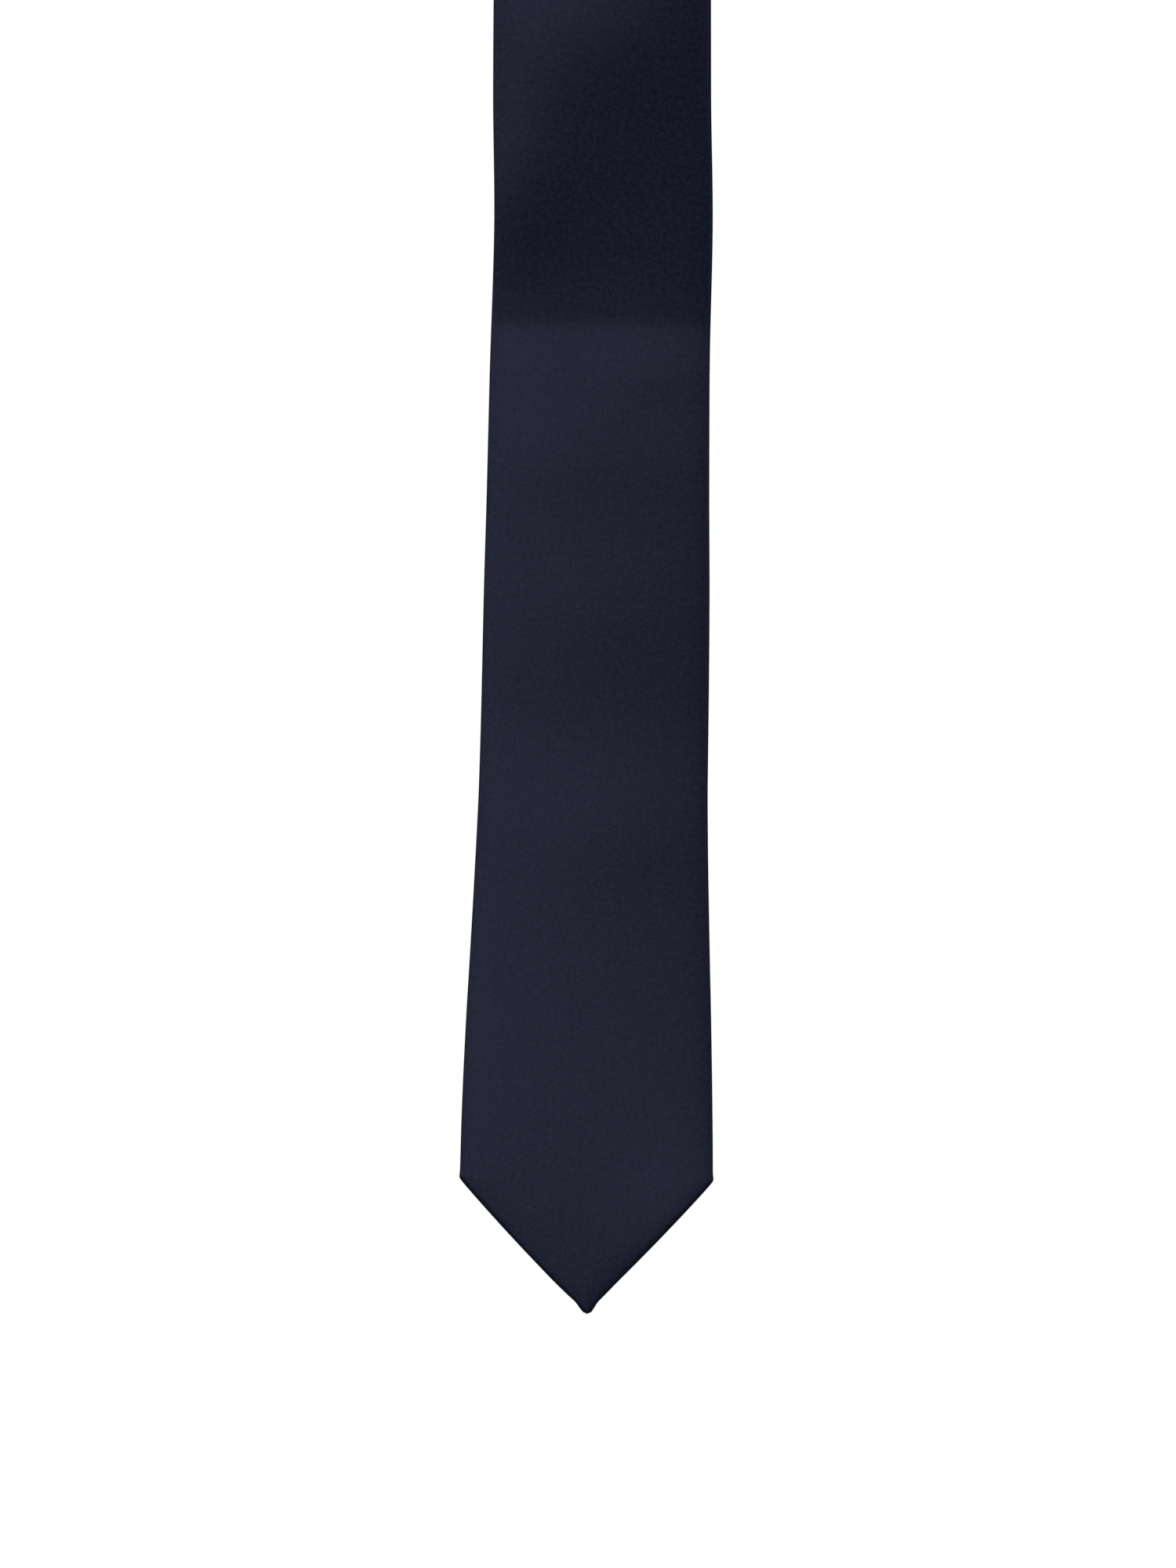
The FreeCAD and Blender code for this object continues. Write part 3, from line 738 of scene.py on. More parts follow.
def under_flap_depth(leg, drop, inward):
    """Depth of the lower flap's outside, a distance inward from its free edge."""
    closed = leg.closed(drop)
    sunk = closed * pressed(drop) * LAP_LIFT * (1.0 - smooth_step((inward - FLAP_LAP - 0.6) / 4.0))
    standing = (1.0 - closed) * KITE_LIFT * (1.0 - smooth_step(inward / KITE_LIFT_REACH))
    return THICK - sunk + standing


top_flap = float(over_flap_depth(front, 300.0, 0.5)) - THICK
print(f"the top flap's free edge stands {top_flap:.2f} mm proud")

# %% [markdown]
# Folding the shell
#
# The shell could be a flat slab with its edges rounded. It is made here as what it is: one sheet
# that starts under the centre of the back, runs out to one edge, rolls over, crosses the face,
# rolls over again and comes back under the other flap, with a small turn-under at each free edge.
# Below the bar tack the flaps draw apart and leave the kite that shows the lining.

# %% Folding the shell
ROLL_ANGLES = np.radians(np.linspace(0.0, 90.0, 8))
TURN_ANGLES = np.radians(np.linspace(-90.0, 90.0, 7))
FACE_COLUMNS = 31
FLAP_COLUMNS = 18


def flap_columns(leg, drop, half, roll, edge, flap_depth):
    """Rows of (distance out from the centre, depth) from a flap's turned-under end to the edge."""
    half, roll, edge, drop = half[:, None], roll[:, None], edge[:, None], drop[:, None]
    reach = half - roll - edge
    turn = np.minimum(SHELL_CLOTH, 0.3 * reach)
    tucked = edge + turn + np.minimum(TURN_UNDER, 0.5 * reach) * np.array([1.0, 0.66, 0.33])
    turned = edge + turn * (1.0 - np.cos(TURN_ANGLES))
    share = np.linspace(0.0, 1.0, FLAP_COLUMNS + 2)[1:-1]
    flap = edge + turn + (reach - turn) * share**1.15
    rolled = half - roll * (1.0 - np.cos(ROLL_ANGLES[::-1]))

    def outside(out):
        full = flap_depth(leg, drop, out - edge)
        return THICK + (full - THICK) * np.clip(reach / 6.0, 0.0, 1.0)

    turned_depth = outside(edge + turn) - turn + turn * np.sin(TURN_ANGLES)
    rolled_depth = THICK - round_over(leg, rolled, drop)
    out = np.concatenate([tucked, turned, flap, rolled], axis=1)
    depths = [outside(tucked) - 2.0 * turn, turned_depth, outside(flap), rolled_depth]
    return out, np.concatenate(depths, axis=1)


def fold_shell(leg, drops):
    """(across, drop, depth) of the folded shell, one row for each drop."""
    half = leg.half_width(drops)
    roll = np.where(drops > leg.shoulder, EDGE_ROLL / leg.slant, EDGE_ROLL)
    roll = np.minimum(roll, 0.45 * half)
    kite = leg.kite(drops)
    lap = FLAP_LAP * leg.closed(drops)
    over, over_depth = flap_columns(leg, drops, half, roll, kite, over_flap_depth)
    under, under_depth = flap_columns(leg, drops, half, roll, kite - lap, under_flap_depth)
    ring = (half[:, None] - roll[:, None] * (1.0 - np.cos(ROLL_ANGLES)))[:, 1:]
    face = (half - roll)[:, None] * np.linspace(-1.0, 1.0, FACE_COLUMNS)[1:-1]
    face = np.concatenate([-ring, face, ring[:, ::-1]], axis=1)
    face_depth = round_over(leg, face, drops[:, None])
    across = np.concatenate([-over, face, under[:, ::-1]], axis=1)
    depth = np.concatenate([over_depth, face_depth, under_depth[:, ::-1]], axis=1)
    return across, np.broadcast_to(drops[:, None], across.shape), depth


print("points in a row of the shell:", fold_shell(front, np.array([300.0]))[0].shape[1])

# %% [markdown]
# The piecing seams
#
# A tie's cloth is cut in three lengths, joined on the bias high up under the collar. A straight
# line across the face would be easy, but a real seam follows the grain: it slants at 45 degrees
# across the face, turns at each edge and comes back up the flaps. Slanting the rows by their
# distance along the cloth gives exactly that, and a shallow valley makes the join show.

# %% The piecing seams
SEAM_RUN = 90.0
SEAM_DIP = 0.24
SEAM_DIP_REACH = 0.6
SEAM_ROWS = np.array([0.0, 0.2, 0.45, 0.8, 1.3, 2.0, 3.0, 4.5, 6.0])


def on_cloth(across, depth):
    """Distance along each row of the cloth from the middle of the face."""
    steps = np.hypot(np.diff(across, axis=1), np.diff(depth, axis=1))
    along = np.concatenate([np.zeros((len(across), 1)), np.cumsum(steps, axis=1)], axis=1)
    # The flaps cross the middle too, so places deeper than the face are put out of the running.
    middle = np.argmin(abs(across) + 1e3 * (depth > EDGE_ROLL), axis=1)
    return along - np.take_along_axis(along, middle[:, None], axis=1)


def seam_valley(across, drop, depth, flat):
    """Push the outside of the cloth in, beside a seam."""
    away = abs(drop - SEAM) / math.sqrt(2.0)
    free = np.minimum(flat - flat[:, :1], flat[:, -1:] - flat)
    dip = SEAM_DIP * np.exp(-((away / SEAM_DIP_REACH) ** 2)) * smooth_step((free - 6.0) / 2.0)
    run_across, run_depth = np.gradient(across, axis=1), np.gradient(depth, axis=1)
    length = np.maximum(np.hypot(run_across, run_depth), 1e-9)
    return across - dip * run_depth / length, depth + dip * run_across / length


def slant_at_seam(leg, across, drop, depth):
    """Slant the rows so that the one at the seam follows the bias of the cloth."""
    flat = on_cloth(across, depth)
    near = smooth_step(1.0 - abs(drop - SEAM) / SEAM_RUN)
    slanted = drop - leg.turn * flat * near
    across = across * leg.half_width(slanted) / leg.half_width(drop)
    across, depth = seam_valley(across, drop, depth, flat)
    return across, slanted, depth, flat


print(f"seams {SEAM:.0f} mm below the rod, their valleys {SEAM_DIP} mm deep")

# %% [markdown]
# Rows down the cloth
#
# Rows could be evenly spaced, but the detail is not: they lie closer together at the seam, at the
# shoulders and towards the point, where the outline changes quickly.

# %% Rows down the cloth
POINT_ROWS = 40


def blade_rows(leg):
    """Drops of the rows of a blade cloth, closer together at the seam and in the point."""
    body = np.arange(SEAM + 8.0, leg.shoulder - 4.5, 2.1)
    shoulder = leg.shoulder + np.array([-4.0, -3.0, -2.2, -1.6, -1.1, -0.7, -0.4, -0.15, 0.1, 0.4])
    share = np.linspace(1.0, 0.0, POINT_ROWS)
    point = leg.tip - 0.01 - (leg.point - 0.8) * share**1.7
    return np.concatenate([SEAM + SEAM_ROWS, body, shoulder, point])


def neck_rows():
    """Drops of the rows of a neck cloth, from the top of the rod down to the seam."""
    arc = np.linspace(-ARC * math.pi / 2, 0.0, 33)
    body = np.arange(0.9, SEAM - 7.0, 1.8)
    return np.concatenate([arc, body, SEAM - SEAM_ROWS[::-1]])


print(f"{len(blade_rows(front))} rows down the front blade, {len(neck_rows())} down a neck cloth")

# %% [markdown]
# Fixing a piece in place
#
# Cloth has no hinge. Here a piece over a joint is not made to follow its bodies: its place is baked
# into its mesh, and it stays where it was made.


def bend(piece):
    """Bake a piece's place into its mesh; it follows no body of a joint."""
    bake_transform(piece)


def bend_with_leg(piece, part):
    """part is 'neck', from the rod to the seam, or 'blade', from the seam to the tip."""
    if part == "neck":
        bend(piece)
    else:
        bend(piece)


# %% [markdown]
# Cutting and placing the shell
#
# The shell's three lengths come out as four pieces of mesh, because the middle length is also
# parted along the top of the rod: a piece can bend with one joint only, and the two legs swing on
# two. The parting has no thickness and its edges are marked sharp, so it does not show.

# %% Cutting and placing the shell


def shell_piece(name, leg, part, nodes):
    """One of the shell's pieces, folded and in place."""
    rows = blade_rows(leg) if part == "blade" else neck_rows()
    across, drop, depth = fold_shell(leg, rows)
    across, drop, depth, flat = slant_at_seam(leg, across, drop, depth)
    grid = place_on_leg(leg, across, drop, depth)
    piece = cloth_from_grid(name, grid, flat, drop, navy_twill, SHELL_CLOTH)
    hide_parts(*nodes)
    bend_with_leg(piece, part)


for leg in (front, tail):
    blade_nodes = [f"{leg.side}_shell_upper", f"{leg.side}_shell_lower"]
    shell_piece(f"blade_cloth_{leg.side}", leg, "blade", blade_nodes)
    neck_nodes = [f"neck_shell_{leg.side}", "neck_shell_saddle"]
    shell_piece(f"neck_cloth_{leg.side}", leg, "neck", neck_nodes)

# %% [markdown]
# Brushed wool
#
# The cloth inside a tie is woven wool, brushed and left off white. It scatters light with hardly
# any shine, and its surface fibres catch a pale rim. The weave is plain and repeats every 0.9 mm,
# as real tie wool does. Its yarns wander, because brushing pulls at them.

# %% Brushed wool
WOOL_YARN = 0.9
WEAVE_CONTRAST = 0.25


def brushed_wool():
    material, tree = new_material("brushed_wool_woven")
    flat = add(tree, "Attribute", {"attribute_name": CLOTH_MAP})
    weave = add(
        tree,
        "VectorMath",
        {"operation": "SCALE"},
        i0=flat.outputs["Vector"],
        Scale=2.0 * math.pi / WOOL_YARN,
    )
    bend_noise = add(tree, "TexNoise", Vector=flat.outputs["Vector"], Scale=0.7, Detail=2.0)
    wander = add(
        tree, "VectorMath", {"operation": "SCALE"}, i0=bend_noise.outputs["Color"], Scale=2.5
    )
    wavy = add(tree, "VectorMath", {"operation": "ADD"}, i0=weave.outputs[0], i1=wander.outputs[0])
    over_under = add(tree, "VectorMath", {"operation": "SINE"}, i0=wavy.outputs[0])
    yarn = add(tree, "SeparateXYZ", Vector=over_under.outputs[0])
    plain = add(tree, "Math", {"operation": "MULTIPLY"}, i0=yarn.outputs[0], i1=yarn.outputs[1])
    fluff = add(tree, "TexNoise", Vector=flat.outputs["Vector"], Scale=6.0, Detail=5.0)
    terms = {"i0": plain.outputs[0], "i1": WEAVE_CONTRAST, "i2": fluff.outputs[0]}
    mixed = add(tree, "Math", SCALE_AND_SHIFT, **terms)
    colour = add(tree, "ValToRGB", Fac=mixed.outputs[0])
    colour.color_ramp.elements[0].color = linear("#BDB4A0")
    colour.color_ramp.elements[1].color = linear("#EDE8DA")
    relief = add(tree, "Bump", Strength=0.6, Distance=0.3 * MM, Height=mixed.outputs[0])
    wool = add(
        tree,
        "BsdfPrincipled",
        Base_Color=colour.outputs[0],
        Roughness=0.95,
        Normal=relief.outputs[0],
    )
    wool.inputs["Specular IOR Level"].default_value = 0.2
    wool.inputs["Sheen Weight"].default_value = 0.35
    wool.inputs["Sheen Roughness"].default_value = 0.6
    add(tree, "OutputMaterial", Surface=wool.outputs[0])
    return material


wool = brushed_wool()
print("material", wool.name)

# %% [markdown]
# A layer inside the tie
#
# The wool and the lining are flat layers cut a little smaller than the tie. Each is a closed mesh
# with its own thickness and soft edges. A layer follows the same outline, hang and slant at the
# seam as the shell, so it can never come out through it.

# %% A layer inside the tie


def inset_half(leg, drop, inset):
    """Half width of a layer cut smaller than the tie by an inset, square to every edge."""
    point = leg.point_half(drop) - inset / leg.slant
    return np.maximum(np.minimum(leg.side_half(drop) - inset, point), 0.02)


def layer_piece(name, leg, rows, inset, depths, columns, material):
    """A closed layer with soft edges, its cut size and area. depths gives its two faces."""
    half = inset_half(leg, rows, inset)[:, None]
    share = np.sin(np.linspace(-90.0, 90.0, columns) * math.pi / 180.0)
    share = 0.7 * np.linspace(-1.0, 1.0, columns) + 0.3 * share
    across = np.concatenate([half * share, half * share[::-1]], axis=1)
    upper, lower = (np.broadcast_to(d, (len(rows), 1)) for d in depths(rows[:, None]))
    middle, thick = (upper + lower) / 2, (lower - upper) / 2
    edge = np.sqrt(1.0 - np.clip(1.0 - (half - abs(half * share)) / thick, 0.0, 1.0) ** 2)
    depth = np.concatenate([middle - thick * edge, middle + thick * edge[:, ::-1]], axis=1)
    drop = np.broadcast_to(rows[:, None], across.shape)
    side_flat = on_cloth(across[:, :columns], depth[:, :columns])
    flat_across = np.concatenate([side_flat, side_flat[:, ::-1]], axis=1)
    # Only a layer that reaches the seam is slanted there.
    if rows[0] < SEAM < rows[-1] + 1.0 or abs(rows[0] - SEAM) < 1.0:
        near = smooth_step(1.0 - abs(rows - SEAM) / SEAM_RUN)[:, None]
        slanted = drop - leg.turn * flat_across * near
        across = across * inset_half(leg, slanted, inset) / half
        drop = slanted
    grid = place_on_leg(leg, across, drop, depth).reshape(-1, 3)
    faces = grid_faces(len(rows), 2 * columns, closed=True)
    for first in (0, (len(rows) - 1) * 2 * columns):
        for j in range(columns - 1):
            a, b = first + j, first + 2 * columns - 1 - j
            cap = (a, a + 1, b - 1, b)
            faces.append(cap if first == 0 else cap[::-1])
    flat_down = np.broadcast_to(rows[:, None], across.shape)
    flat = np.stack([flat_across, flat_down, 0 * across], axis=-1)
    piece = new_piece(name, grid, faces, flat.reshape(-1, 3), material)
    weld = piece.modifiers.new("weld_point", "WELD")
    weld.merge_threshold = WELD_WITHIN
    flat_width = 2.0 * inset_half(leg, rows, inset)
    area = ((flat_width[1:] + flat_width[:-1]) / 2 * np.diff(rows)).sum()
    return piece, (flat_width.max() * MM, (rows[-1] - rows[0]) * MM), area * MM * MM


layer_width = 2 * inset_half(front, 400.0, 1.4)
print(f"cut 1.4 mm in on each side, a layer is {layer_width:.1f} mm wide 400 mm down")

# %% [markdown]
# Woollen interlining
#
# A strip of wool gives the tie its body and lets the knot spring back. It could be left out,
# since the shell hides it, but it is a part of the tie and is what the shell is wrapped round.
# Over the rod it is pressed to half its thickness. Its rows are as close as the shell's.

# %% Woollen interlining
WOOL_FRONT = 0.4
WOOL_BACK = 1.4
WOOL_PRESSED = 0.85
WOOL_INSET = 1.35


def wool_depths(drop):
    press = pressed(drop)
    return WOOL_FRONT, WOOL_BACK - (WOOL_BACK - WOOL_PRESSED) * press


def lining_rows(leg, top):
    """Drops of the rows of the lining. The wool under it has the same, so they lie together."""
    return np.concatenate(
        [np.arange(top, leg.shoulder - 1.0, 2.4), np.linspace(leg.shoulder, leg.tip - 2.9, 18)]
    )


for leg in (front, tail):
    up, low = f"{leg.side}_interlining_upper", f"{leg.side}_interlining_lower"
    top = -box_mm(f"{leg.side}_tipping")[1][2]
    blade_drops = np.concatenate([np.arange(SEAM, top - 1.0, 2.0), lining_rows(leg, top)])
    neck_drops = np.concatenate([neck_rows()[:33:2], np.arange(2.0, SEAM + 0.1, 2.0)])
    for part, rows, nodes in (
        ("blade", blade_drops, (up, low)),
        ("neck", neck_drops, (up, "interlining_saddle")),
    ):
        piece, size, area = layer_piece(
            f"interlining_{part}_{leg.side}", leg, rows, WOOL_INSET, wool_depths, 23, wool
        )
        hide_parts(*nodes)
        bend_with_leg(piece, part)
        print(f"{piece.name}: cut {size[0]:.3f} x {size[1]:.3f} m")

# %% [markdown]
# Satin
#
# Satin floats one yarn over four or more, so it is smoother and brighter than twill, and its
# shine runs in fine lines along those floats. The yarns of lining satin are about 0.1 mm apart.
# They are drawn three times as coarse, and eight times as long as wide, so that the lines show.

# %% Satin
SATIN_FLOAT = 0.35
FLOAT_STRETCH = 0.12


def satin(name, dark, light, glint, roughness, line):
    """Smooth satin cloth whose floats run down the piece. line is the float spacing drawn."""
    material, tree = new_material(name)
    flat = add(tree, "Attribute", {"attribute_name": CLOTH_MAP})
    stretch = add(
        tree,
        "VectorMath",
        {"operation": "MULTIPLY"},
        i0=flat.outputs["Vector"],
        i1=(1.0 / line, FLOAT_STRETCH / line, 1.0),
    )
    floats = add(tree, "TexNoise", Vector=stretch.outputs[0], Scale=1.0, Detail=2.0, Roughness=0.5)
    shade = add(tree, "MapRange", Value=floats.outputs[0])
    shade.inputs["From Min"].default_value = 0.3
    shade.inputs["From Max"].default_value = 0.7
    colour = add(tree, "ValToRGB", Fac=shade.outputs[0])
    colour.color_ramp.elements[0].color = linear(dark)
    colour.color_ramp.elements[1].color = linear(light)
    relief = add(tree, "Bump", Strength=0.3, Distance=0.05 * MM, Height=floats.outputs[0])
    cloth = add(
        tree,
        "BsdfPrincipled",
        Base_Color=colour.outputs[0],
        Roughness=roughness,
        Normal=relief.outputs[0],
    )
    cloth.inputs["IOR"].default_value = FIBRE_IOR
    cloth.inputs["Specular Tint"].default_value = linear(glint)
    cloth.inputs["Anisotropic"].default_value = 0.5
    add(tree, "OutputMaterial", Surface=cloth.outputs[0])
    return material


navy_satin = satin("navy_satin_lining_woven", "#141832", "#242B52", "#8C98E0", 0.4, SATIN_FLOAT)
print("material", navy_satin.name)

# %% [markdown]
# Satin lining
#
# Each end of the tie is lined, so that no raw edge shows where the flaps draw apart. The lining
# is thin satin in the shell's navy. It could be stretched flat, but a slight fullness in the
# middle of the kite keeps a real one from pulling the point.

# %% Satin lining
LINING_FRONT = 1.52
LINING_CLOTH = 0.2
LINING_INSET = 1.7


def lining_depths(leg):
    """The depths of a leg's lining, as layer_piece asks for them."""

    def depths(drop):
        fullness = 0.12 * np.exp(-(((drop - (leg.tack + leg.tip) / 2) / 30.0) ** 2))
        return LINING_FRONT + fullness, LINING_FRONT + LINING_CLOTH + fullness

    return depths


for leg in (front, tail):
    top = -box_mm(f"{leg.side}_tipping")[1][2]
    rows = lining_rows(leg, top)
    piece, size, area = layer_piece(
        f"tipping_lining_{leg.side}", leg, rows, LINING_INSET, lining_depths(leg), 31, navy_satin
    )
    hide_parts(f"{leg.side}_tipping")
    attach(piece, f"{leg.side}_lower")
    print(f"{piece.name}: cut {size[0]:.3f} x {size[1]:.3f} m")

# %% [markdown]
# Dyed thread
#
# All the sewing is done with one cotton thread, mercerised and dyed to match. Mercerising swells
# the fibres and rounds them, so the thread is a little glossier than brushed cotton, with fine
# fibres along it that break the glint up.

# %% Dyed thread


def dyed_thread(name, dark, light):
    material, tree = new_material(name)
    along = add(tree, "Attribute", {"attribute_name": CLOTH_MAP})
    fibres = add(tree, "TexNoise", Vector=along.outputs["Vector"], Scale=3.0, Detail=3.0)
    colour = add(tree, "ValToRGB", Fac=fibres.outputs[0])
    colour.color_ramp.elements[0].color = linear(dark)
    colour.color_ramp.elements[1].color = linear(light)
    relief = add(tree, "Bump", Strength=0.4, Distance=0.04 * MM, Height=fibres.outputs[0])
    thread = add(
        tree,
        "BsdfPrincipled",
        Base_Color=colour.outputs[0],
        Roughness=0.42,
        Normal=relief.outputs[0],
    )
    thread.inputs["IOR"].default_value = FIBRE_IOR
    thread.inputs["Sheen Weight"].default_value = 0.15
    add(tree, "OutputMaterial", Surface=thread.outputs[0])
    return material


navy_thread = dyed_thread("navy_mercerised_thread_twisted", "#15182A", "#343B5C")
print("material", navy_thread.name)

# %% [markdown]
# A smooth path
#
# A run of thread is given by the few places where it bends. Joined by straight lines it would
# look like wire, so the path through them is a smooth curve.

# %% A smooth path


def smooth_path(points, steps):
    """A smooth line through every given point."""
    p = np.asarray(points, float)
    before = np.vstack([2 * p[0] - p[1], p[:-1]])[:-1]
    after = np.vstack([p[1:], 2 * p[-1] - p[-2]])[1:]
    share = np.linspace(0.0, 1.0, steps, endpoint=False)[None, :, None]
    a, b = p[:-1, None], p[1:, None]
    lead, trail = (b - before[:, None]) / 2, (after[:, None] - a) / 2
    line = a * (2 * share**3 - 3 * share**2 + 1) + b * (3 * share**2 - 2 * share**3)
    line = line + lead * (share**3 - 2 * share**2 + share) + trail * (share**3 - share**2)
    return np.vstack([line.reshape(-1, 3), p[-1:]])


print("points on a path of 3 places, 4 steps apart:", len(smooth_path(np.eye(3), 4)))

# %% [markdown]
# A twisted tube
#
# A thread could be a plain tube. Real sewing thread is two plies twisted together, so each tube
# here has two lobes that turn as they run, which gives it a rope-like glint.

# %% A twisted tube
THREAD_RADIUS = 0.2
PLY_TURN = 1.3
PLY_LOBE = 0.2
THREAD_SIDES = 8


def twisted_tube(path, radius):
    """(points, faces, flat places) of a two-ply thread along a path."""
    step = np.linalg.norm(np.diff(path, axis=0), axis=1)
    along = np.concatenate([[0.0], np.cumsum(step)])
    run = np.gradient(path, axis=0)
    run /= np.linalg.norm(run, axis=1)[:, None]
    side = np.cross(run[0], (0.31, 0.87, 0.38))
    angles = np.linspace(0.0, 2.0 * math.pi, THREAD_SIDES, endpoint=False)
    points, flat = [], []
    for centre, ahead, at in zip(path, run, along):
        side = side - ahead * (side @ ahead)
        side /= np.linalg.norm(side)
        up = np.cross(ahead, side)
        plies = angles + 2.0 * math.pi * at / PLY_TURN
        reach = radius * (1.0 + PLY_LOBE * np.cos(2.0 * angles))
        ring = np.outer(np.cos(plies) * reach, side) + np.outer(np.sin(plies) * reach, up)
        points.append(centre + ring)
        flat.append(np.stack([angles * radius, np.full(THREAD_SIDES, at), 0 * angles], axis=-1))
    faces = grid_faces(len(path), THREAD_SIDES, closed=True)
    last = (len(path) - 1) * THREAD_SIDES
    faces.append(tuple(range(THREAD_SIDES)))
    faces.append(tuple(range(last + THREAD_SIDES - 1, last - 1, -1)))
    return np.concatenate(points), faces, np.concatenate(flat)


def thread_piece(name, paths, radius, nodes):
    """All the runs of thread of one seam, as one piece."""
    points, faces, flat, count = [], [], [], 0
    for path in paths:
        tube, tube_faces, tube_flat = twisted_tube(np.asarray(path), radius)
        points.append(tube)
        flat.append(tube_flat)
        faces += [tuple(k + count for k in face) for face in tube_faces]
        count += len(tube)
    piece = new_piece(name, np.concatenate(points), faces, np.concatenate(flat), navy_thread)
    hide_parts(*nodes)
    print(f"{name}: {len(paths)} runs of thread")
    return piece


print(f"thread {2 * THREAD_RADIUS} mm thick, its plies turn once in {PLY_TURN} mm")

# %% [markdown]
# Slip stitches
#
# The closing stitch runs out of sight between the flaps and shows only where it takes a bite: a
# slanting stitch over the edge of the top flap, one every 12 mm, as a hand makes them. The thread
# is one slack running line, so that the tie can stretch. Its lower end is left as a small loop
# below the bar tack, the spare length that lets the seam stretch and slide back.

# %% Slip stitches
STITCH_PITCH = 12.0
STITCH_BITE = [
    # across, drop, over (0 on the lower flap, 1 on the top flap), height above that surface
    (-1.4, -3.4, 0, 0.05),
    (-0.4, -1.6, 0, 0.12),
    (0.75, -0.75, 0, 0.16),
    (0.95, -0.35, 0, 0.1),
    (0.12, 0.1, 1, -0.1),
    (-0.75, 0.5, 1, 0.1),
    (-1.45, 0.85, 1, 0.0),
    (-1.6, 1.3, 1, -0.35),
    (-1.4, 3.2, 0, 0.05),
]


def stitch_row(leg, first, last):
    """Points of a run of slip stitches down a leg, between two drops."""
    across, drop, depth = [], [], []
    for middle in np.arange(first, last, STITCH_PITCH):
        for x, down, over, height in STITCH_BITE:
            at = middle + down
            surface = under_flap_depth(leg, at, 9.0)
            if over:
                surface = over_flap_depth(leg, at, 0.5)
            across.append(x)
            drop.append(at)
            depth.append(float(surface) + height)
    return np.array(across), np.array(drop), np.array(depth)


# The spare loop: (across, drop below the bar tack).
RESERVE_LOOP = [(-0.4, -0.4), (-0.9, 3.4), (-1.5, 6.6), (-0.6, 8.9)]
RESERVE_LOOP += [(0.8, 7.9), (0.8, 4.4), (0.3, -0.2)]

for leg in (front, tail):
    first = -box_mm(f"{leg.side}_slip_stitch_upper")[1][2]
    blade_first = first + STITCH_PITCH * math.ceil((SEAM + 4.0 - first) / STITCH_PITCH)
    last = leg.tack - 6.0
    for part, start, stop in (("neck", first, blade_first - 1.0), ("blade", blade_first, last)):
        across, drop, depth = stitch_row(leg, start, stop)
        nodes = [f"{leg.side}_slip_stitch_upper"]
        if part == "blade":
            loop = np.array(RESERVE_LOOP)
            across = np.concatenate([across, loop[:, 0]])
            drop = np.concatenate([drop, leg.tack + loop[:, 1]])
            lining = LINING_FRONT + LINING_CLOTH + 0.45
            depth = np.concatenate([depth, [THICK + 0.3, *[lining] * 5, THICK + 0.2]])
            nodes.append(f"{leg.side}_slip_stitch_lower")
        path = smooth_path(np.stack([across, drop, depth], axis=-1), 4)
        placed = place_on_leg(leg, path[:, 0], path[:, 1], path[:, 2])
        piece = thread_piece(f"slip_stitches_{part}_{leg.side}", [placed], THREAD_RADIUS, nodes)
        bend_with_leg(piece, part)

# %% [markdown]
# Bar tacks
#
# A bar tack is a few strands laid across the top of the kite and bound round tightly with the
# same thread, so that the flaps cannot tear apart. A single block would hide that, so it is wound
# here as a flat coil, a little slimmer towards its ends.

# %% Bar tacks
TACK_WIDE = 1.0
TACK_HIGH = 0.42
TACK_WINDS = 21
POINTS_A_WIND = 14


def bar_tack(leg):
    """The wound bar tack that closes the top of a kite."""
    reach = box_mm(f"{leg.side}_bar_tack")[1][0] - THREAD_RADIUS
    turn = np.linspace(0.0, 2.0 * math.pi * TACK_WINDS, POINTS_A_WIND * TACK_WINDS)
    across = np.linspace(-reach, reach, len(turn))
    swelling = 1.0 - 0.25 * (across / reach) ** 2
    drop = leg.tack + TACK_WIDE * swelling * np.sin(turn)
    depth = THICK + LAP_LIFT * 0.6 + TACK_HIGH * swelling * np.cos(turn)
    piece = thread_piece(
        f"bar_tack_{leg.side}",
        [place_on_leg(leg, across, drop, depth)],
        THREAD_RADIUS,
        [f"{leg.side}_bar_tack"],
    )
    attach(piece, f"{leg.side}_lower")


for leg in (front, tail):
    bar_tack(leg)

# %% [markdown]
# Machine stitches
#
# The piecing seams are sewn by machine. Their stitches could be one thin line, but they are small
# and even and dive into the cloth at each end, so each is its own short run of a finer thread,
# sunk in the valley of the seam.

# %% Machine stitches
SEAM_STITCH = 2.3
SEAM_THREAD = 0.13


def surface_stitch(place, start, stop, lift, sink):
    """A short stitch between two places on a surface, going in at both ends."""
    share = np.linspace(0.0, 1.0, 11)
    bow = abs(2.0 * share - 1.0) ** 6
    at = np.outer(1.0 - share, start) + np.outer(share, stop)
    return place(at, lift * (1.0 - bow) - sink * bow)


def piecing_seam(leg):
    """The stitches of a piecing seam, where it crosses the face."""
    half = NECK_HALF - EDGE_ROLL

    def on_face(at, height):
        drop = SEAM - leg.turn * at[:, 0]
        return place_on_leg(leg, at[:, 0], drop, SEAM_DIP - height)

    ends = np.arange(-half + 0.4, half - SEAM_STITCH * 0.7, SEAM_STITCH / math.sqrt(2.0))
    length = 0.82 * SEAM_STITCH / math.sqrt(2.0)
    paths = [surface_stitch(on_face, (x, 0.0), (x + length, 0.0), 0.06, 0.25) for x in ends]
    node = f"{leg.side}_piecing_seam"
    piece = thread_piece(node + "_thread", paths, SEAM_THREAD, [node])
    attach(piece, f"{leg.side}_upper")


for leg in (front, tail):
    piecing_seam(leg)

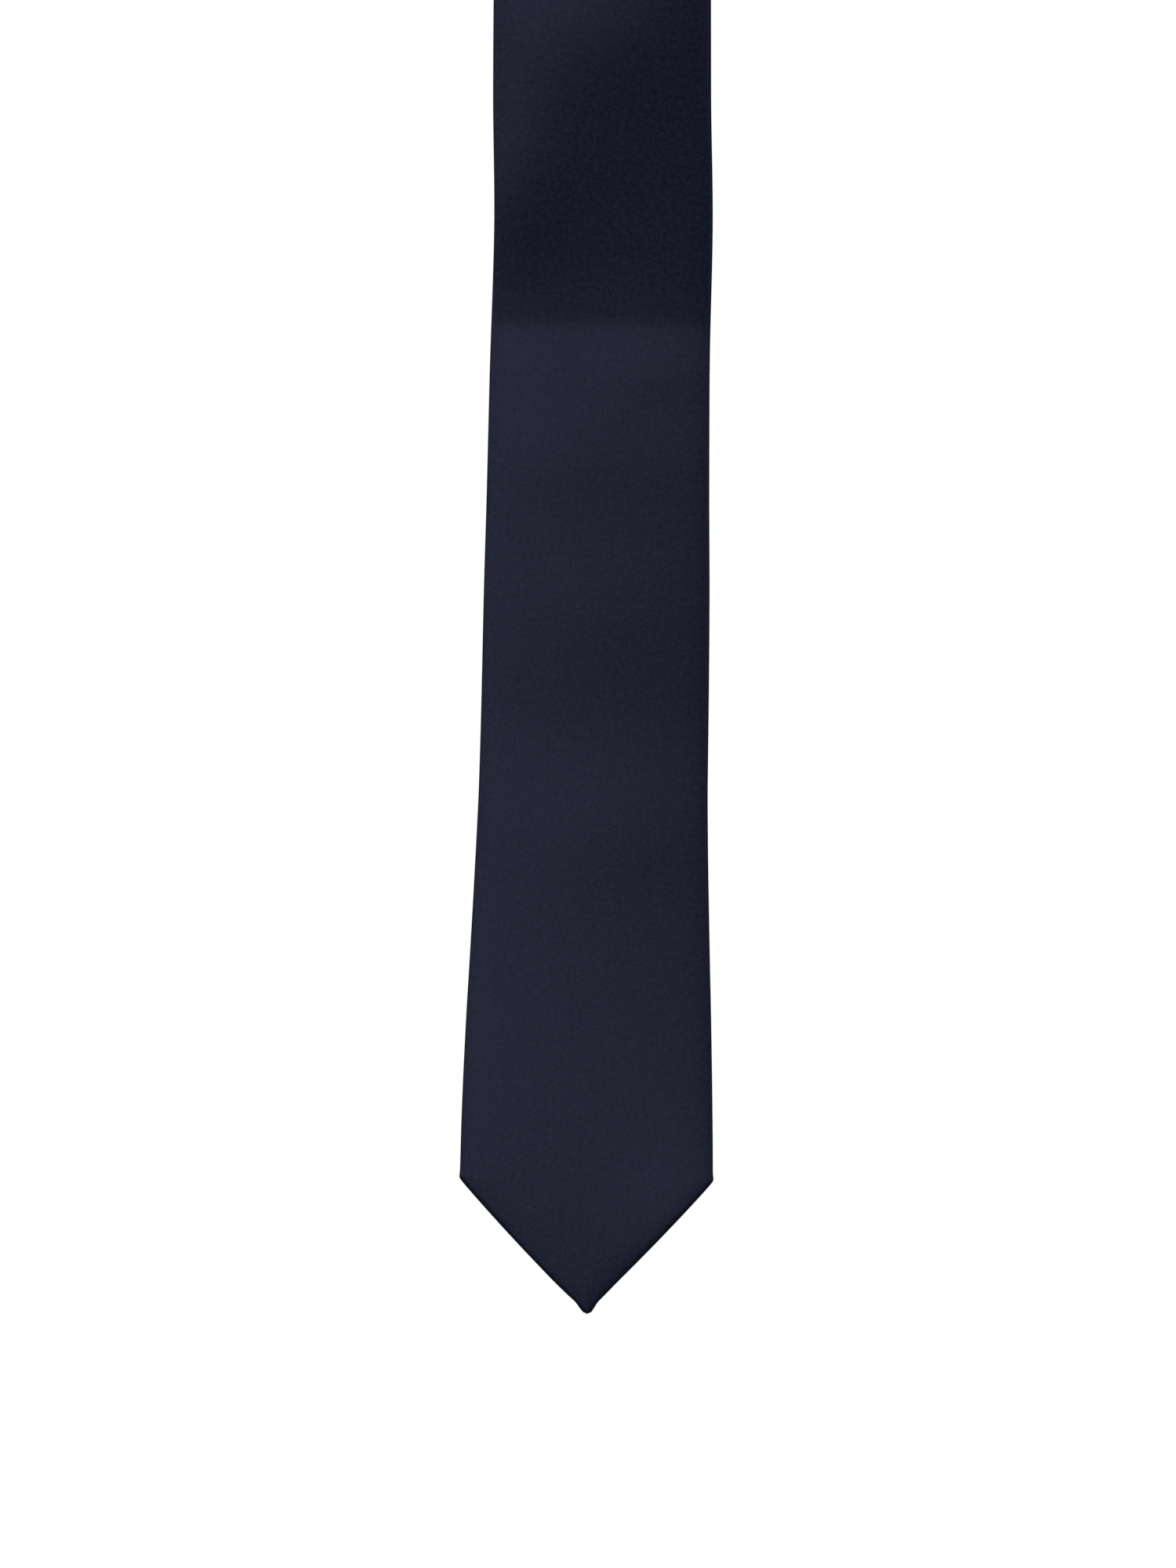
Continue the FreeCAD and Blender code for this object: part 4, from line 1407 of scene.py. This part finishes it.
# %% [markdown]
# Keeper loop
#
# The keeper is a band of the shell's own cloth, folded to a flat tube and sewn to the back at
# both ends, and the tail slips through it. It could be a flat strip, but then nothing could pass
# it. It is a closed band here, with soft folded edges, that rises from each sewn end and bows
# away from the back, a little more in its middle than at its edges.

# %% Keeper loop
KEEPER_CLOTH = 0.6
KEEPER_FOOT = 3.6
KEEPER_RISE = 6.0
KEEPER_BOW = 0.35
keeper_low, keeper_high = box_mm("keeper_loop")
keeper_top, keeper_bottom = -keeper_high[2], -keeper_low[2]
keeper_half = keeper_high[0]
keeper_crown = FACE_OUT + keeper_high[1]


def keeper_depth(across, share_down):
    """Depth of the band's outside. It lies on the back at its ends and bows between them."""
    inward = keeper_half - abs(across) - KEEPER_FOOT
    rise = smooth_step(inward / KEEPER_RISE)
    bow = KEEPER_BOW * (1.0 - (across / keeper_half) ** 2) * (1.0 - share_down**2) - KEEPER_BOW
    foot = THICK + KEEPER_CLOTH + 0.02
    return foot + (keeper_crown - foot + bow) * rise


def keeper_loop():
    """The band: rows along it from one sewn end to the other, columns round its section."""
    across = np.concatenate(
        [
            np.linspace(-keeper_half, -keeper_half + KEEPER_FOOT, 7)[:-1],
            np.linspace(-keeper_half + KEEPER_FOOT, keeper_half - KEEPER_FOOT, 61),
            np.linspace(keeper_half - KEEPER_FOOT, keeper_half, 7)[1:],
        ]
    )
    half = (keeper_bottom - keeper_top) / 2
    edge = KEEPER_CLOTH / 2
    flat_part = np.linspace(-1.0, 1.0, 15) * (half - edge)
    turn = np.radians(np.linspace(90.0, -90.0, 7)[1:-1])
    folded_edge = half - edge + edge * np.cos(turn)
    down = np.concatenate([flat_part, folded_edge, flat_part[::-1], -folded_edge])
    side, round_it = np.full(len(flat_part), edge), edge * np.sin(turn)
    thick = np.concatenate([side, round_it, -side, -round_it])
    x, d = np.meshgrid(across, down, indexing="ij")
    outside = keeper_depth(x, d / half)
    slope = np.gradient(outside[:, 0], across)[:, None]
    lean = np.hypot(1.0, slope)
    middle = outside - edge
    x_place = x - thick * slope / lean
    depth = middle + thick / lean
    grid = place_on_leg(front, x_place, CREASE + d, depth)
    flat_x = np.concatenate([[0.0], np.cumsum(np.hypot(np.diff(across), np.diff(outside[:, 0])))])
    girth = np.cumsum(np.hypot(np.diff(down, prepend=down[0]), np.diff(thick, prepend=thick[0])))
    flat = np.stack(np.broadcast_arrays(flat_x[:, None], girth[None, :], 0.0), axis=-1)
    columns = len(down)
    faces = grid_faces(len(across), columns, closed=True)
    last = (len(across) - 1) * columns
    faces.append(tuple(range(columns)))
    faces.append(tuple(range(last + columns - 1, last - 1, -1)))
    points, flat = grid.reshape(-1, 3), flat.reshape(-1, 3)
    piece = new_piece("keeper_loop_band", points, faces, flat, navy_twill)
    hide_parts("keeper_loop")
    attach(piece, "front_lower")


keeper_loop()

# %% [markdown]
# Keeper stitches
#
# The band's two ends are sewn down through all its layers with a short row of stitches each. They
# pull the cloth in, which is why the band starts to rise only a few millimetres further in.

# %% Keeper stitches
KEEPER_THREAD = 0.16


def keeper_stitches(side):
    """A short row of stitches down one sewn end of the keeper."""
    low, high = box_mm(f"keeper_stitches_{side}")
    x = (low[0] + high[0]) / 2

    def on_foot(at, height):
        return place_on_leg(front, at[:, 0], at[:, 1], THICK + KEEPER_CLOTH + height)

    starts = np.linspace(-high[2], -low[2], 7)[:-1]
    paths = [surface_stitch(on_foot, (x, d + 0.2), (x, d + 2.1), 0.14, 0.4) for d in starts]
    node = f"keeper_stitches_{side}"
    piece = thread_piece(node + "_thread", paths, KEEPER_THREAD, [node])
    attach(piece, "front_lower")


for side in ("left", "right"):
    keeper_stitches(side)

# %% [markdown]
# Care label
#
# Below the keeper a short satin ribbon is sewn across its top end, over the closing seam, and
# hangs free. It is left blank. Ribbon like this is white polyester woven with closed edges: it is
# bright, slightly glossy and thin enough to follow the step between the flaps.

# %% Care label
LABEL_CLOTH = 0.22
LABEL_GAP = 0.34
label_low, label_high = box_mm("care_label")
sewn_high = box_mm("care_label_sewn_end")[1]
label_ribbon = satin("white_polyester_ribbon_woven", "#D2CFC4", "#EFECE2", "#FFFFFF", 0.42, 0.3)


def label_rest(across, drop):
    """Depth of the backs of the flaps with a ribbon laid over the step between them."""
    over = over_flap_depth(front, drop, np.maximum(-across, 0.0))
    step = float(over_flap_depth(front, CREASE, 0.5))
    return np.where(across < 0, over, np.maximum(THICK, step - 0.1 * across))


def care_label():
    """The ribbon, with its free end curling slightly off the back."""
    half = label_high[0]
    top, bottom = -sewn_high[2], -label_low[2]
    across = np.linspace(-half, half, 33)
    down = np.linspace(top, bottom, 49)
    x, d = np.meshgrid(across, down, indexing="xy")
    share = (d - top) / (bottom - top)
    curl = 0.9 * share**3 + 0.25 * share**2 * (x / half) ** 2
    depth = label_rest(x, d) + LABEL_GAP + curl + LABEL_CLOTH
    grid = place_on_leg(front, x, d, depth)
    grid, flat_x = grid[:, ::-1], x[:, ::-1]
    piece = cloth_from_grid("care_label_ribbon", grid, flat_x, d, label_ribbon, LABEL_CLOTH)
    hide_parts("care_label_sewn_end", "care_label")
    bend(piece)
    print(f"ribbon {2 * half:.0f} mm wide, {bottom - top:.0f} mm long")


care_label()

# %% [markdown]
# Label stitches
#
# One row of small stitches holds the ribbon's top end. They lie on the ribbon and dip through it,
# in the same thread as the seam.

# %% Label stitches
LABEL_THREAD = 0.14


def label_stitches():
    """The row of stitches across the sewn end of the ribbon."""
    low, high = box_mm("care_label_stitches")
    drop = -(low[2] + high[2]) / 2

    def on_label(at, height):
        surface = label_rest(at[:, 0], drop) + LABEL_GAP + LABEL_CLOTH
        return place_on_leg(front, at[:, 0], drop, surface + height)

    starts = np.linspace(low[0], high[0], 8)[:-1]
    paths = [surface_stitch(on_label, (x + 0.2, 0.0), (x + 2.2, 0.0), 0.12, 0.35) for x in starts]
    piece = thread_piece("care_label_thread", paths, LABEL_THREAD, ["care_label_stitches"])
    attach(piece, "front_lower")


label_stitches()

# %% [markdown]
# Size and the last line
#
# The cloth may stand a little proud of the imported model, but the tie must not grow. How far it
# reaches past the model's box is printed.

# %% Size and the last line
visual_low, visual_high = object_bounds()
past_low = (np.array(cad_low) - np.array(visual_low)) / MM
past_high = (np.array(visual_high) - np.array(cad_high)) / MM
print("past the packed model, mm:", np.maximum(past_low, past_high).round(1))
